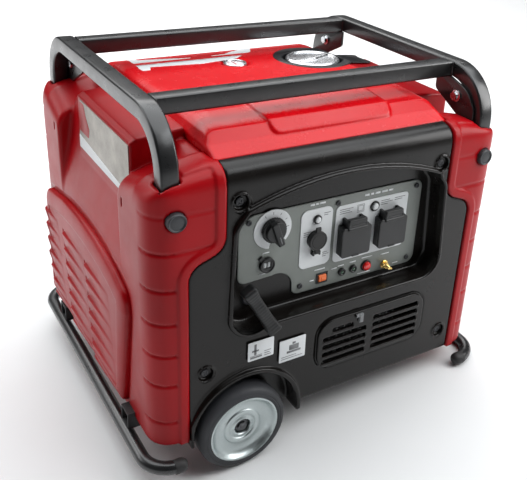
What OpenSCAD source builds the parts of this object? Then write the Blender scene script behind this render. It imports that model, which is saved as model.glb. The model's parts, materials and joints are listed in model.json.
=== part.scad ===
// Closed-body portable inverter generator on tube skids, with a wheel at each left corner.
// Millimetres. The body is drawn upright; stand() then leans it onto its wheels and right skid.
// +X to the right, -Y towards the control panel, +Z up, origin at the floor under the middle.

/* [Body] */
// Width over the side shells
body_w = 644; // [636:1:650]
// Depth over the front and rear covers
body_d = 550; // [548:1:552]
// Height of the shells' lower edge above the skid line
body_z0 = 38; // [30:1:44]
// Height of the shells' crown
crown_z = 494; // [492:1:496]
// Radius of the upright corners
corner_r = 50; // [46:1:56]
// Wall of the plastic shells
wall = 3.5; // [3:0.1:4]
// Half width of the front cover above its shoulders
fascia_top_half = 206; // [200:1:210]
// Half width of the front cover below its shoulders
fascia_low_half = 264; // [258:1:268]
// Gap along the seams between covers
seam = 0.6; // [0.4:0.1:1]

/* [Handle frame] */
// Side of the square handle tube
bar = 27; // [24:1:28]
// Wall of the handle tube
bar_wall = 2; // [1.5:0.1:3]
// Half width over the two hoops
hoop_half = 297; // [296:1:298]
// Height of the top of the handle frame
handle_z = 569; // [560:1:580]
// Half depth over the hoops' legs
leg_half = 262; // [260:1:263]
// Centreline radius of the hoops' bends
bend_r = 73.5; // [65:0.5:80]
// Half depth over the two crossbars
crossbar_half = 180; // [170:1:181]

/* [Skids and wheels] */
// Diameter of the skid tubes
skid_d = 22; // [20:1:24]
// Distance of each skid's straight run from the middle
skid_x = 332; // [330:1:334]
// Distance of each skid's end caps from the middle
skid_end_y = 287; // [285:1:289]
// Centreline radius of the skids' bends
skid_bend = 44; // [36:1:50]
// Outside radius of the tyres
tyre_r = 76; // [74:1:77]
// Width of the tyres
tyre_w = 41; // [38:1:42]
// Radius of the pressed rims
rim_r = 60; // [58:1:62]
// Distance of the wheels' axle from the middle
wheel_x = 177; // [175:1:179]
// Height of the axle above the skid line
wheel_z = 38; // [37:1:39]
// Distance of the tyres' outer face from the middle
tyre_face_y = 292; // [290:1:294]
// Diameter of the axle
axle_d = 16; // [14:1:16]

/* [Controls] */
// Depth of the control recess behind the front cover
recess_depth = 34; // [32:1:36]
// Reach of the control recess to the left of the middle
recess_half = 190; // [188:1:191]
// Height of the recess floor
recess_z0 = 220; // [218:1:222]
// Height of the top of the recess arch
recess_z1 = 447; // [445:1:448]
// Radius of the recess arch
recess_arch_r = 500; // [480:10:520]
// Diameter of the engine switch knob
knob_d = 40; // [36:1:42]
// Side of the mains sockets' lids
lid_w = 58; // [56:1:59]
// Diameter of the 12 volt socket's rubber cap
dc_cap_d = 33; // [31.5:0.5:34]
// Length of the recoil grip
grip_l = 118; // [110:1:122]

/* [Top] */
// Diameter of the fuel cap
cap_d = 92; // [88:1:96]
// Distance of the fuel cap from the middle, to the right
cap_x = 150; // [149:1:150]
// Distance of the fuel cap from the middle, to the rear
cap_y = 77; // [70:1:85]

/* [Hidden] */
$fn = 48;

body_half_w = body_w / 2;
body_half_d = body_d / 2;
front_y = -body_half_d;
skid_r = skid_d / 2;
run = 0.05;                     // radial running clearance
// The lean at which the tyres and the right skid reach the floor together.
lean_run = wheel_x + skid_x;
lean_rise = wheel_z - skid_r;
lean_drop = tyre_r - skid_r;
lean = asin(lean_drop / norm([lean_run, lean_rise])) - atan2(lean_rise, lean_run);
stand_x = -skid_r * sin(lean);
stand_z = skid_x * sin(lean) - skid_r * cos(lean) + skid_r;

shoulder_r = 40;                // side shells' upper edge
shoulder_z = 436;
fall_tilt = 22;                 // the pillars' tops fall away outwards and towards the pocket
fall_y = [141, 220];
fall_z = [-14, 10];
brow_r = 38;                    // front and rear covers' upper edge
top_half = 212;                 // top cover's half width
top_reach = 241.5;              // top cover's half depth
tray_z = 50;
tray_t = 4;
deck_z = tray_z + tray_t;
pocket_y = 147;                 // the sides step in between the pillars
block_y1 = 95;                  // rear end of the nameplate block
block_x = 297;
block_z = [398, 494];
recess_y = front_y + recess_depth;
plate_y = recess_y;             // back face of the control plate
plate_t = 3;
plate_face = plate_y - plate_t;
insert_t = 1.2;
insert_face = plate_face - insert_t;
arch_c = [-166, wheel_z];
arch_r = 93;
well_t = 2.4;
well_depth = 30;
well_z0 = 22;                   // the wheel well's mouth, below the shells
screw_spots = [[-184, 435], [187, 429], [-237, 157], [237, 84]];
rear_screw_spots = [[-187, 437], [187, 437], [-237, 157], [237, 157]];
well_r = 12;
plug_at = [281, 426];
plug_r = 14;
grille_box = [-38, 88, 190, 188];
grip_at = [-151, 251];
grip_y = front_y - 16;
rope_r = 2.5;
rope_end = 170;
ac_x = [33, 107];
ac_z = 317;
ac_face = insert_face - 12;
lid_t = 6;
hinge_z = ac_z + 34;
hinge_y = ac_face - 1;
dc_at = [-36, 329.5];
knob_at = [-114, 364];
aux_at = [-122, 304];
eco_at = [-17, 252];
lamp_spots = [[22, 253], [45, 253]];
button_at = [72, 252];
button_r = 7.5;
earth_at = [111.5, 244];
dc_breaker_at = [-34.5, 363.5];
ac_breaker_at = [77, 363];
plate_screw_spots = [[-155, 383], [4, 383], [163, 383], [-59, 248], [160, 246]];
crank_z = grip_at[1] - 50;      // the rope runs over the top of the pulley
crank_bore = 12.5 + run;
gauge_at = [0, 107];
gauge_r = 22;
tail_at = [200, 200];
tail_r = 17;

// ---- outlines and placing -------------------------------------------------------------------

function arc(c, r, a0, a1, n = 10) =
    [for (i = [0 : n]) let (a = a0 + (a1 - a0) * i / n) c + r * [cos(a), sin(a)]];
function round_rect(x0, y0, x1, y1, r, n = 8) = concat(
    arc([x1 - r, y1 - r], r, 0, 90, n), arc([x0 + r, y1 - r], r, 90, 180, n),
    arc([x0 + r, y0 + r], r, 180, 270, n), arc([x1 - r, y0 + r], r, 270, 360, n));
function flip(points) = [for (i = [len(points) - 1 : -1 : 0]) [-points[i][0], points[i][1]]];

module stand() translate([stand_x, 0, stand_z]) rotate([0, lean, 0]) children();
module along_x(x0, x1) translate([x0, 0, 0]) rotate([90, 0, 90]) linear_extrude(x1 - x0) children();
module along_y(y0, y1) translate([0, y1, 0]) rotate([90, 0, 0]) linear_extrude(y1 - y0) children();
module along_z(z0, z1) translate([0, 0, z0]) linear_extrude(z1 - z0) children();
module rod_y(at, y0, y1, r) translate([at[0], y1, at[1]]) rotate([90, 0, 0]) cylinder(y1 - y0, r = r);
module rod_x(y, z, x0, x1, r) translate([x0, y, z]) rotate([0, 90, 0]) cylinder(x1 - x0, r = r);
module rod_z(x, y, z0, z1, r) translate([x, y, z0]) cylinder(z1 - z0, r = r);
module block(x0, y0, z0, x1, y1, z1) translate([x0, y0, z0]) cube([x1 - x0, y1 - y0, z1 - z0]);
module hex_y(at, y0, y1, r) translate([at[0], y1, at[1]]) rotate([90, 0, 0])
    cylinder(y1 - y0, r = r, $fn = 6);
module hex_x(at, x0, x1, r) translate([x0, at[0], at[1]]) rotate([0, 90, 0])
    cylinder(x1 - x0, r = r, $fn = 6);
module both_x() {
    children();
    mirror([1, 0, 0]) children();
}
module both_y() {
    children();
    mirror([0, 1, 0]) children();
}

// ---- the body's skin ------------------------------------------------------------------------

function shoulder_line(t) = concat(arc([body_half_w - shoulder_r, shoulder_z], shoulder_r - t, 0, 74),
    [[top_half + 12, crown_z - t]]);
function side_half(t) = concat([[body_half_w - t, body_z0 - 20]], shoulder_line(t));
function brow_half(t) = concat([[body_half_d - t, body_z0 - 20]],
    arc([body_half_d - brow_r, crown_z - brow_r], brow_r - t, 0, 90));
fascia_half = concat([[fascia_low_half, 0]],
    arc([fascia_low_half - 30, 325], 30, 0, 70),
    arc([fascia_top_half + 30, 388], 30, 250, 180),
    [[fascia_top_half, crown_z + 20]]);

module hull_volume(t) intersection() {
    along_z(t > 0 ? body_z0 - 10 : body_z0, crown_z + 10)
        polygon(round_rect(t - body_half_w, t - body_half_d, body_half_w - t, body_half_d - t,
            corner_r - t, 10));
    along_y(-body_half_d - 1, body_half_d + 1) polygon(concat(side_half(t), flip(side_half(t))));
    along_x(-body_half_w - 1, body_half_w + 1) polygon(concat(brow_half(t), flip(brow_half(t))));
}
// The side steps in above the louvres, and carries the nameplate block.
module side_pocket(t) both_x() along_y(-pocket_y - t, pocket_y + t)
    polygon([[400, 304 - t], [body_half_w - 2 - t, 304 - t], [block_x - t, block_z[0]],
        [block_x - t - 18, 520], [400, 520]]);
module side_block(t) both_x() along_y(t - pocket_y, block_y1 - t)
    polygon([[top_half - 10, 395], [block_x - t, 395], [block_x - t, block_z[1] - t],
        [block_x - 10, block_z[1] + 6 - t], [top_half - 10, block_z[1] + 14 - t]]);
module shoulder_fall(t) both_x() both_y() translate([top_half + 24, 0, crown_z - 6 - t])
    rotate([0, fall_tilt, 0]) along_x(-8, 120)
        polygon([[fall_y[0], fall_z[0]], [fall_y[1], fall_z[1]], [fall_y[1], 70], [fall_y[0], 70]]);
module side_volume(t) {
    difference() {
        hull_volume(t);
        side_pocket(t);
        shoulder_fall(t);
    }
    side_block(t);
}
module fascia_zone(grow, depth) along_y(-body_half_d - 2, -body_half_d + depth) offset(delta = grow)
    polygon(concat(fascia_half, flip(fascia_half)));
module side_skin() difference() {
    side_volume(0);
    side_volume(wall);
    both_y() fascia_zone(seam, body_half_d - top_reach);
    block(-top_half - seam, -top_reach - 1, 400, top_half + seam, top_reach + 1, 600);
    both_x() both_y() block(hoop_half - bar - 1, leg_half - bar - 1, 430,
        hoop_half + 1.5, leg_half + 1.5, 500);
    both_x() both_y() rod_y(plug_at, -body_half_d - 5, -body_half_d + 14, plug_r + 0.3);
    both_x() both_y() block(body_half_w - wall - 5, member_y[0] - 1, 0, 400, member_y[1] + 1, tray_z + 1);
}

module side_shell_right() color([0.75, 0.03, 0.04]) stand() {
    intersection() {
        side_skin();
        block(0, -400, 0, 400, 400, 600);
    }
    // Panel lip that follows the front and rear covers
    both_y() side_lip();
}
module side_shell_left() color([0.6, 0.03, 0.05]) stand() {
    intersection() {
        side_skin();
        block(-400, -400, 0, 0, 400, 600);
    }
    both_y() mirror([1, 0, 0]) side_lip();
}
module side_lip() intersection() {
    along_y(-body_half_d - 2.5, -body_half_d + 0.5) difference() {
        offset(delta = 16) polygon(concat(fascia_half, flip(fascia_half)));
        offset(delta = seam) polygon(concat(fascia_half, flip(fascia_half)));
    }
    block(0, -400, body_z0, 400, 400, 465);
}

// ---- louvred side covers --------------------------------------------------------------------

louver_t = 6;
louver_arch = concat([[-150, 52]], arc([-120, 240], 30, 180, 110, 6), arc([50, -260], 560, 105, 75, 8),
    arc([215, 240], 30, 70, 0, 6), [[245, 52]]);
slat_pitch = 24;
slat_gap = 8;
// Each column of slots: where it starts, how wide it is, how many slots less one
slat_columns = [[-126, 50, 6], [-62, 50, 7], [2, 50, 8], [66, 50, 8], [130, 50, 8], [194, 34, 7]];
module louver_cover() difference() {
    along_x(body_half_w, body_half_w + louver_t) polygon(louver_arch);
    for (c = slat_columns)
        for (i = [0 : c[2]])
            translate([body_half_w - 2, c[0], 70 + slat_pitch * i]) cube([louver_t + 4, c[1], slat_gap]);
}
module louver_cover_right() color([0.75, 0.03, 0.04]) stand() louver_cover();
module louver_cover_left() color([0.6, 0.03, 0.05]) stand() mirror([1, 0, 0]) louver_cover();

// ---- front and rear covers ------------------------------------------------------------------

recess_top = recess_z1 - recess_arch_r;
function recess_edge(x) = recess_top + sqrt(recess_arch_r * recess_arch_r - x * x);
recess_corner = 26;
recess_right = recess_half + 5; // the right wall leans outwards going down
recess_low_right = recess_half + 14;
recess_line = concat(
    [for (x = [recess_half - 10 : -20 : 20 - recess_half]) [x, recess_edge(x)]],
    arc([recess_corner - recess_half, recess_edge(recess_half) - recess_corner], recess_corner, 130, 180, 4),
    arc([30 - recess_half, recess_z0 + 28], 36, 192, 310, 8),
    arc([recess_low_right - 34, recess_z0 + 34], 34, 270, 360, 6),
    arc([recess_right - recess_corner, recess_edge(recess_right) - recess_corner], recess_corner, 0, 50, 4));
tub_gap = 0.2;                  // between the tub and the cover around it
module recess_2d(grow = 0) offset(delta = grow) polygon(recess_line);
module arch_2d(r) intersection() {
    translate(arch_c) circle(r);
    translate([arch_c[0] - 150, well_z0]) square(300);
}
module cover_skin() difference() {
    intersection() {
        difference() {
            hull_volume(0);
            hull_volume(wall);
        }
        fascia_zone(0, body_half_d - top_reach);
    }
    along_y(front_y - 1, front_y + wall + 1) arch_2d(arch_r + well_t / 2);
}
module wheel_well() difference() {
    along_y(front_y - 4, front_y + well_depth) arch_2d(arch_r + well_t);
    along_y(front_y - 5, front_y + well_depth - well_t) arch_2d(arch_r);
    rod_y([-wheel_x, wheel_z], front_y, front_y + well_depth + 1, axle_d / 2 + 2);
}
cup_depth = 9;                  // how deep the cover screws sit
cup_wall = 2;
module screw_boss(at) rod_y(at, front_y + 1, front_y + cup_depth + cup_wall, well_r + cup_wall);
module screw_hole(at) {
    rod_y(at, front_y - 1, front_y + cup_depth, well_r);
    rod_y(at, front_y - 1, front_y + cup_depth + cup_wall + 1, 3.2);
}
module front_fascia() color([0.06, 0.055, 0.055]) stand() difference() {
    union() {
        cover_skin();
        wheel_well();
        for (s = screw_spots) screw_boss(s);
    }
    for (s = screw_spots) screw_hole(s);
    // The upper right boss stops short of the tub
    along_y(front_y - 1, recess_y + wall + 1) recess_2d(wall + tub_gap);
    along_y(front_y - 1, front_y + wall + 1)
        polygon(round_rect(grille_box[0], grille_box[1], grille_box[2], grille_box[3], 32));
}
// The tub that the controls sit in, with a bead round its mouth
module recess_tub() color([0.06, 0.055, 0.055]) stand() difference() {
    along_y(front_y - 3, recess_y + wall) recess_2d(wall);
    along_y(front_y - 4, recess_y) recess_2d();
    rod_y(grip_at, recess_y - 1, recess_y + wall + 1, rope_r + 0.7);
    control_holes(recess_y - 1, recess_y + wall + 1, 0.6);
}
grille_slots = [76, 174, 104];
module front_grille() color([0.08, 0.075, 0.075]) stand() difference() {
    along_y(front_y - 1.5, front_y + 3) polygon(round_rect(grille_box[0] + 0.4, grille_box[1] + 0.4,
        grille_box[2] - 0.4, grille_box[3] - 0.4, 31.6));
    for (i = [0 : 4]) {
        z = grille_slots[2] + 15 * i;
        // The top slot on the left is short, beside the latch
        left = i == 4 ? [-8, 34] : [-26, 62];
        along_y(front_y - 3, front_y + 5) polygon(slot_line(left[0], left[1], z));
        along_y(front_y - 3, front_y + 5) polygon(slot_line(grille_slots[0], grille_slots[1], z));
    }
}
function slot_line(x0, x1, z) = round_rect(x0, z - 3.5, x1, z + 3.5, 3.4, 4);
module rear_cover() color([0.06, 0.055, 0.055]) stand() difference() {
    union() {
        mirror([0, 1, 0]) cover_skin();
        mirror([0, 1, 0]) wheel_well();
        for (s = rear_screw_spots) mirror([0, 1, 0]) screw_boss(s);
    }
    for (s = rear_screw_spots) mirror([0, 1, 0]) screw_hole(s);
    rod_y(tail_at, body_half_d - wall - 1, body_half_d + 1, tail_r + 8);
    for (i = [0 : 7])
        along_y(body_half_d - wall - 1, body_half_d + 1) polygon(slot_line(-120, 60, 150 + 20 * i));
}
module panel_screws() color([0.1, 0.1, 0.1]) stand() {
    for (s = screw_spots) cover_screw(s);
    for (s = rear_screw_spots) mirror([0, 1, 0]) cover_screw(s);
    for (s = plate_screw_spots) plate_screw(s);
}
module plate_screw(at) {
    rod_y(at, plate_face - 3, plate_face, 4.5);
    rod_y(at, plate_face, plate_y, 2.2);
}
module cover_screw(at) {
    rod_y(at, front_y + cup_depth - 3.5, front_y + cup_depth, 6);
    rod_y(at, front_y + cup_depth, front_y + 20, 2.9);
}
module corner_plugs() color([0.13, 0.13, 0.13]) stand() both_x() both_y() {
    rod_y(plug_at, front_y - 2, front_y + 12.5, plug_r);
}

// ---- top ------------------------------------------------------------------------------------

top_line = [[-top_reach, 484], [-top_reach, 492], [-216, 504], [-200, 518], [-135, 524], [180, 515],
    [205, 511], [top_reach, 492], [top_reach, 484]];
top_under = [[-top_reach + wall, 480], [-top_reach + wall, 490], [-214, 500], [-198, 514.5], [-135, 520.5],
    [180, 511.5], [203, 507.5], [top_reach - wall, 490], [top_reach - wall, 480]];
top_end = [[top_half - 0.5, 480], [top_half - 0.5, 503], [top_half - 7, 514], [top_half - 18, 520],
    [top_half - 38, 526]];
module top_cover() color([0.85, 0.03, 0.05]) stand() difference() {
    intersection() {
        along_x(-top_half + 0.5, top_half - 0.5) polygon(top_line);
        along_y(-top_reach - 1, top_reach + 1) polygon(concat(top_end, flip(top_end)));
    }
    intersection() {
        along_x(-top_half + wall, top_half - wall) polygon(top_under);
        along_y(-top_reach, top_reach) offset(delta = -wall)
            polygon(concat([[top_half - 0.5, 460]], top_end, flip(top_end), [[0.5 - top_half, 460]]));
    }
    rod_z(cap_x, cap_y, 470, 540, 60.5);
    rod_z(gauge_at[0], gauge_at[1], 470, 540, gauge_r + 0.4);
}
neck_z = 505;                   // top of the tank's filler neck
gauge_z = 502.5;                // underside of the fuel gauge
module fuel_dish() color([0.05, 0.05, 0.05]) stand() difference() {
    rod_z(cap_x, cap_y, 490, 517, 60);
    rod_z(cap_x, cap_y, 493, 518, 56.5);
    rod_z(cap_x, cap_y, 489, 494, 30);
}
module fuel_tank() color([0.2, 0.2, 0.2]) stand() difference() {
    union() {
        along_z(374, 466) polygon(round_rect(-90, -190, 210, 190, 30));
        rod_z(cap_x, cap_y, 466, neck_z, 26);
        rod_z(gauge_at[0], gauge_at[1], 466, gauge_z, 16);
    }
    along_z(377, 463) polygon(round_rect(-87, -187, 207, 187, 27));
    rod_z(cap_x, cap_y, 460, neck_z + 1, 23);
}
module fuel_cap() color([0.8, 0.8, 0.82]) stand() {
    difference() {
        rod_z(cap_x, cap_y, neck_z - 7, neck_z + 13, cap_d / 2);
        rod_z(cap_x, cap_y, neck_z - 8, neck_z + run, 26.4);
    }
    rod_z(cap_x, cap_y, neck_z + 13, neck_z + 17, cap_d / 2 - 5);
    rod_z(cap_x, cap_y, neck_z - 5, neck_z + run, 22.7);
}
module fuel_gauge() color([0.75, 0.75, 0.75]) stand() {
    difference() {
        rod_z(gauge_at[0], gauge_at[1], gauge_z, gauge_z + 14, gauge_r);
        rod_z(gauge_at[0], gauge_at[1], gauge_z + 11, gauge_z + 15, gauge_r - 5);
    }
    rod_z(gauge_at[0], gauge_at[1], gauge_z + 11, gauge_z + 12.5, gauge_r - 5);
}

// ---- tray, skids and handle frame -----------------------------------------------------------

module base_tray() color([0.12, 0.12, 0.12]) stand() difference() {
    along_z(tray_z, deck_z) polygon(round_rect(3 + wall - body_half_w, 3 + wall - body_half_d,
        body_half_w - wall - 3, body_half_d - wall - 3, corner_r - wall - 3));
    both_y() along_y(-body_half_d, -body_half_d + well_depth + 1) arch_2d(arch_r + 4);
    for (i = [-3 : 3])
        along_z(tray_z - 1, deck_z + 1) polygon(round_rect(-60, 30 * i - 5, 60, 30 * i + 5, 4));
}
member_y = [155, 185];          // the two box beams under the tray
member_z = 20;
member_t = 2.5;
wheel_at = [-wheel_x, wheel_z];
module cross_members() color([0.1, 0.1, 0.1]) stand() both_y() difference() {
    block(-skid_x, member_y[0], member_z, skid_x, member_y[1], tray_z);
    block(-skid_x - 1, member_y[0] + member_t, member_z + member_t,
        skid_x + 1, member_y[1] - member_t, tray_z - member_t);
    both_x() rod_y([skid_x, skid_r], member_y[0] - 1, member_y[1] + 1, skid_r);
    rod_y(wheel_at, member_y[0] - 1, member_y[1] + 1, axle_d / 2 + run);
}
module skid() {
    straight = skid_end_y - skid_bend;
    translate([skid_x, -straight, skid_r]) rotate([-90, 0, 0]) ring(2 * straight);
    both_y() translate([skid_x - skid_bend, straight, skid_r]) rotate_extrude(angle = 90)
        translate([skid_bend, 0]) ring_2d();
}
module ring_2d() difference() {
    circle(skid_r);
    circle(skid_r - 2);
}
module ring(l) linear_extrude(l) ring_2d();
module skid_right() color([0.05, 0.05, 0.05]) stand() skid();
module skid_left() color([0.05, 0.05, 0.05]) stand() mirror([1, 0, 0]) skid();
module skid_caps() color([0.04, 0.04, 0.04]) stand() both_x() both_y()
    translate([skid_x - skid_bend, skid_end_y, skid_r]) rotate([0, -90, 0])
        rotate_extrude() polygon(concat([[0, 0], [skid_r, 0]], arc([0, 3], skid_r, 0, 90, 8)));

bend_y = leg_half - bar / 2 - bend_r;
bend_z = handle_z - bar / 2 - bend_r;
module bar_2d() difference() {
    polygon(round_rect(-bar / 2, -bar / 2, bar / 2, bar / 2, 3.5, 4));
    hollow = bar / 2 - bar_wall;
    polygon(round_rect(-hollow, -hollow, hollow, hollow, 2, 4));
}
module hoop() translate([hoop_half - bar / 2, 0, 0]) {
    translate([0, -bend_y, bend_z + bend_r]) rotate([-90, 0, 0]) linear_extrude(2 * bend_y) bar_2d();
    both_y() {
        translate([0, bend_y, bend_z]) rotate([90, 0, 90]) rotate_extrude(angle = 90)
            translate([bend_r, 0]) bar_2d();
        translate([0, bend_y + bend_r, deck_z]) linear_extrude(bend_z - deck_z) bar_2d();
    }
}
module hoop_right() color([0.06, 0.06, 0.06]) stand() hoop();
module hoop_left() color([0.06, 0.06, 0.06]) stand() mirror([1, 0, 0]) hoop();
inner_x = hoop_half - bar;
gusset_line = [[-147, handle_z - bar + 1], [-182, handle_z - bar + 1], [-226, 530], [-247, 502],
    [-247, 490], [-205, 490], [-150, 522]];
gusset_bolt_at = [-203, 515];
module crossbar() {
    translate([-inner_x, -crossbar_half + bar / 2, handle_z - bar / 2]) rotate([90, 0, 90])
        linear_extrude(2 * inner_x) bar_2d();
    both_x() difference() {
        along_x(inner_x - 5, inner_x) polygon(gusset_line);
        rod_x(gusset_bolt_at[0], gusset_bolt_at[1], inner_x - 6, inner_x + 1, 4.3);
        translate([-1, -crossbar_half + 2, handle_z - bar + 2]) cube([inner_x + 2, bar - 4, bar - 4]);
    }
}
module crossbar_front() color([0.06, 0.06, 0.06]) stand() crossbar();
module crossbar_rear() color([0.06, 0.06, 0.06]) stand() mirror([0, 1, 0]) crossbar();
module gusset_bolts() color([0.8, 0.8, 0.8]) stand() both_x() both_y() {
    rod_x(gusset_bolt_at[0], gusset_bolt_at[1], inner_x - 6.5, inner_x - 5, 10);
    hex_x(gusset_bolt_at, inner_x - 13, inner_x - 6.5, 7);
    rod_x(gusset_bolt_at[0], gusset_bolt_at[1], inner_x - 5, inner_x, 4.2);
    hex_x(gusset_bolt_at, inner_x, inner_x + 6.5, 7);
}

// ---- wheels ---------------------------------------------------------------------------------

hub_y = tyre_face_y - 14;       // outer end of the rim's hub
module on_axle(y) translate([wheel_at[0], y, wheel_at[1]]) rotate([90, 0, 0]) children();
module tyre() on_axle(tyre_w - tyre_face_y) rotate_extrude($fn = 96) polygon(concat(
    [[rim_r, 3], [rim_r, tyre_w - 3]],
    arc([rim_r + 6, tyre_w - 6], 6, 110, 60, 3),
    arc([tyre_r - 9, tyre_w - 9], 9, 50, 0, 5),
    arc([tyre_r - 9, 9], 9, 0, -50, 5),
    arc([rim_r + 6, 6], 6, -60, -110, 3)));
module rim() on_axle(tyre_w - tyre_face_y) rotate_extrude($fn = 96) polygon([
    [axle_d / 2 + run, 0], [14, 0], [14, 14], [rim_r, 14], [rim_r, tyre_w - 1], [rim_r - 3, tyre_w - 1],
    [rim_r - 9, tyre_w - 10], [rim_r - 14, tyre_w - 12], [32, tyre_w - 12], [30, tyre_w - 9],
    [22, tyre_w - 9], [20, tyre_w - 11], [14, tyre_w - 11], [14, tyre_w - 14],
    [axle_d / 2 + run, tyre_w - 14]]);
module tyre_front() color([0.08, 0.08, 0.09]) stand() tyre();
module rim_front() color([0.75, 0.78, 0.78]) stand() rim();
module tyre_rear() color([0.08, 0.08, 0.09]) stand() mirror([0, 1, 0]) tyre();
module rim_rear() color([0.75, 0.78, 0.78]) stand() mirror([0, 1, 0]) rim();
module axle() color([0.5, 0.5, 0.5]) stand() rod_y(wheel_at, -hub_y + 0.5, hub_y - 0.5, axle_d / 2);
module hub_nuts() color([0.2, 0.19, 0.18]) stand() both_y() {
    rod_y(wheel_at, -hub_y - 2, -hub_y, 11);
    hex_y(wheel_at, -hub_y - 8, -hub_y - 2, 8);
}

// ---- control plate and its fittings ---------------------------------------------------------

plate_line = concat(arc([160, 378], 16, 90, 0, 5), arc([160, 250], 16, 0, -90, 5),
    arc([-60, 250], 16, 270, 210, 3), arc([-104, 252], 30, 15, 105, 6), arc([-158, 293], 14, 270, 180, 5),
    arc([-140, 362], 32, 180, 100, 6));
module control_holes(y0, y1, gap) {
    for (x = ac_x) rod_y([x, ac_z], y0, y1, 22 + gap);
    rod_y(dc_at, y0, y1, 14 + gap);
    rod_y(knob_at, y0, y1, 4 + gap);
    rod_y(aux_at, y0, y1, 12 + gap);
    rod_y(dc_breaker_at, y0, y1, 5 + gap);
    rod_y(ac_breaker_at, y0, y1, 6 + gap);
    for (p = lamp_spots) rod_y(p, y0, y1, 5 + gap);
    rod_y(button_at, y0, y1, button_r + gap);
    rod_y(earth_at, y0, y1, 3 + gap);
    block(eco_at[0] - 9 - gap, y0, eco_at[1] - 8 - gap, eco_at[0] + 9 + gap, y1, eco_at[1] + 8 + gap);
}
module control_plate() color([0.5, 0.52, 0.5]) stand() difference() {
    along_y(plate_face, plate_y) polygon(plate_line);
    control_holes(plate_face - 1, plate_y + 1, 0.3);
    for (s = plate_screw_spots) rod_y(s, plate_face - 1, plate_y + 1, 2.3);
}
module panel_inserts() color([0.85, 0.86, 0.86]) stand() difference() {
    along_y(insert_face, plate_face) {
        polygon(round_rect(-64, 278, -5, 382, 12));
        polygon(round_rect(1, 275, 147, 377, 8));
        polygon(arc(knob_at, 33, 9, 360, 39));
    }
    control_holes(insert_face - 1, plate_face + 1, 0.3);
}
module ac_sockets() color([0.07, 0.07, 0.07]) stand() for (x = ac_x) difference() {
    union() {
        block(x - 26, ac_face, ac_z - 25, x + 26, insert_face, hinge_z - 8);
        rod_y([x, ac_z], insert_face - 1, recess_y + 20, 22);
        for (ear = [x - 18.5, x + 14.3]) {
            block(ear, ac_face, hinge_z - 9, ear + 4.2, insert_face, hinge_z + 4);
            block(ear, ac_face - 5, hinge_z - 5, ear + 4.2, ac_face + 1, hinge_z + 4);
        }
        rod_x(hinge_y, hinge_z, x - 16, x + 16, 1.5);
    }
    rod_y([x, ac_z], ac_face - 1, ac_face + 17, 19.5);
    both_pins(x, 2.6);
}
module both_pins(x, r) for (s = [-1, 1]) rod_y([x + 9.5 * s, ac_z], ac_face + 16, recess_y + 19, r);
module ac_lid(x) {
    difference() {
        union() {
            block(x - lid_w / 2, ac_face - lid_t, ac_z - 27, x + lid_w / 2, ac_face - 0.4, hinge_z - 7.5);
            block(x - 13.8, ac_face - lid_t, hinge_z - 11, x + 13.8, ac_face - 0.4, hinge_z);
            rod_x(hinge_y - 0.5, hinge_z, x - 13.8, x + 13.8, 4.5);
        }
        rod_x(hinge_y, hinge_z, x - 15, x + 15, 1.5 + run);
    }
}
module ac_lid_left() color([0.09, 0.09, 0.09]) stand() ac_lid(ac_x[0]);
module ac_lid_right() color([0.09, 0.09, 0.09]) stand() ac_lid(ac_x[1]);
dc_face = insert_face - 4;
dc_hinge_z = dc_at[1] - dc_cap_d / 2 - 6;
module dc_socket() color([0.08, 0.08, 0.08]) stand() {
    difference() {
        union() {
            rod_y(dc_at, dc_face, insert_face, 15.5);
            rod_y(dc_at, insert_face, recess_y + 30, 14);
        }
        rod_y(dc_at, dc_face - 1, recess_y + 27, 10.5);
    }
    for (s = [-1, 1]) block(dc_at[0] + (s < 0 ? -7 : 4.3), dc_face - 4, dc_hinge_z - 4,
        dc_at[0] + (s < 0 ? -4.3 : 7), insert_face, dc_hinge_z + 3);
    rod_x(dc_face - 1.5, dc_hinge_z, dc_at[0] - 6, dc_at[0] + 6, 1.2);
}
module dc_cap() color([0.06, 0.06, 0.06]) stand() difference() {
    union() {
        rod_y(dc_at, dc_face - 7, dc_face - 0.4, dc_cap_d / 2);
        block(dc_at[0] - 5, dc_face - 6, dc_at[1] + 14, dc_at[0] + 5, dc_face - 2, dc_at[1] + 23);
        block(dc_at[0] - 3.8, dc_face - 4, dc_hinge_z, dc_at[0] + 3.8, dc_face - 0.4, dc_at[1] - 14);
        rod_x(dc_face - 1.5, dc_hinge_z, dc_at[0] - 3.8, dc_at[0] + 3.8, 2.6);
    }
    rod_x(dc_face - 1.5, dc_hinge_z, dc_at[0] - 5, dc_at[0] + 5, 1.2 + run);
}
module breaker(at, r) {
    rod_y(at, insert_face - 5, recess_y + 6, r);
    rod_y(at, recess_y + 6, recess_y + 8, r);
}
module dc_breaker() color([0.1, 0.1, 0.09]) stand() breaker(dc_breaker_at, 5);
module ac_breaker() color([0.9, 0.9, 0.9]) stand() breaker(ac_breaker_at, 6);
module engine_knob() color([0.05, 0.05, 0.05]) stand() {
    rod_y(knob_at, insert_face - 8, insert_face - 0.4, knob_d / 2);
    rod_y(knob_at, insert_face - 14, insert_face - 8, knob_d / 2 - 3);
    rod_y(knob_at, insert_face - 0.4, recess_y + 12, 4);
    translate([knob_at[0], 0, knob_at[1]]) rotate([0, -20, 0])
        block(-4.5, insert_face - 19, -25, 4.5, insert_face - 8, 18);
}
module aux_socket() color([0.05, 0.05, 0.05]) stand() difference() {
    union() {
        rod_y(aux_at, plate_face - 5, plate_face, 13);
        rod_y(aux_at, plate_face, recess_y + 14, 12);
        translate([aux_at[0], 0, aux_at[1]]) rotate([0, -55, 0])
            block(-5, plate_face - 3, 10, 5, plate_face, 21);
    }
    block(aux_at[0] - 6, plate_face - 6, aux_at[1] - 5, aux_at[0] - 0.8, recess_y + 8, aux_at[1] + 5);
    block(aux_at[0] + 0.8, plate_face - 6, aux_at[1] - 5, aux_at[0] + 6, recess_y + 8, aux_at[1] + 5);
}
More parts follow.
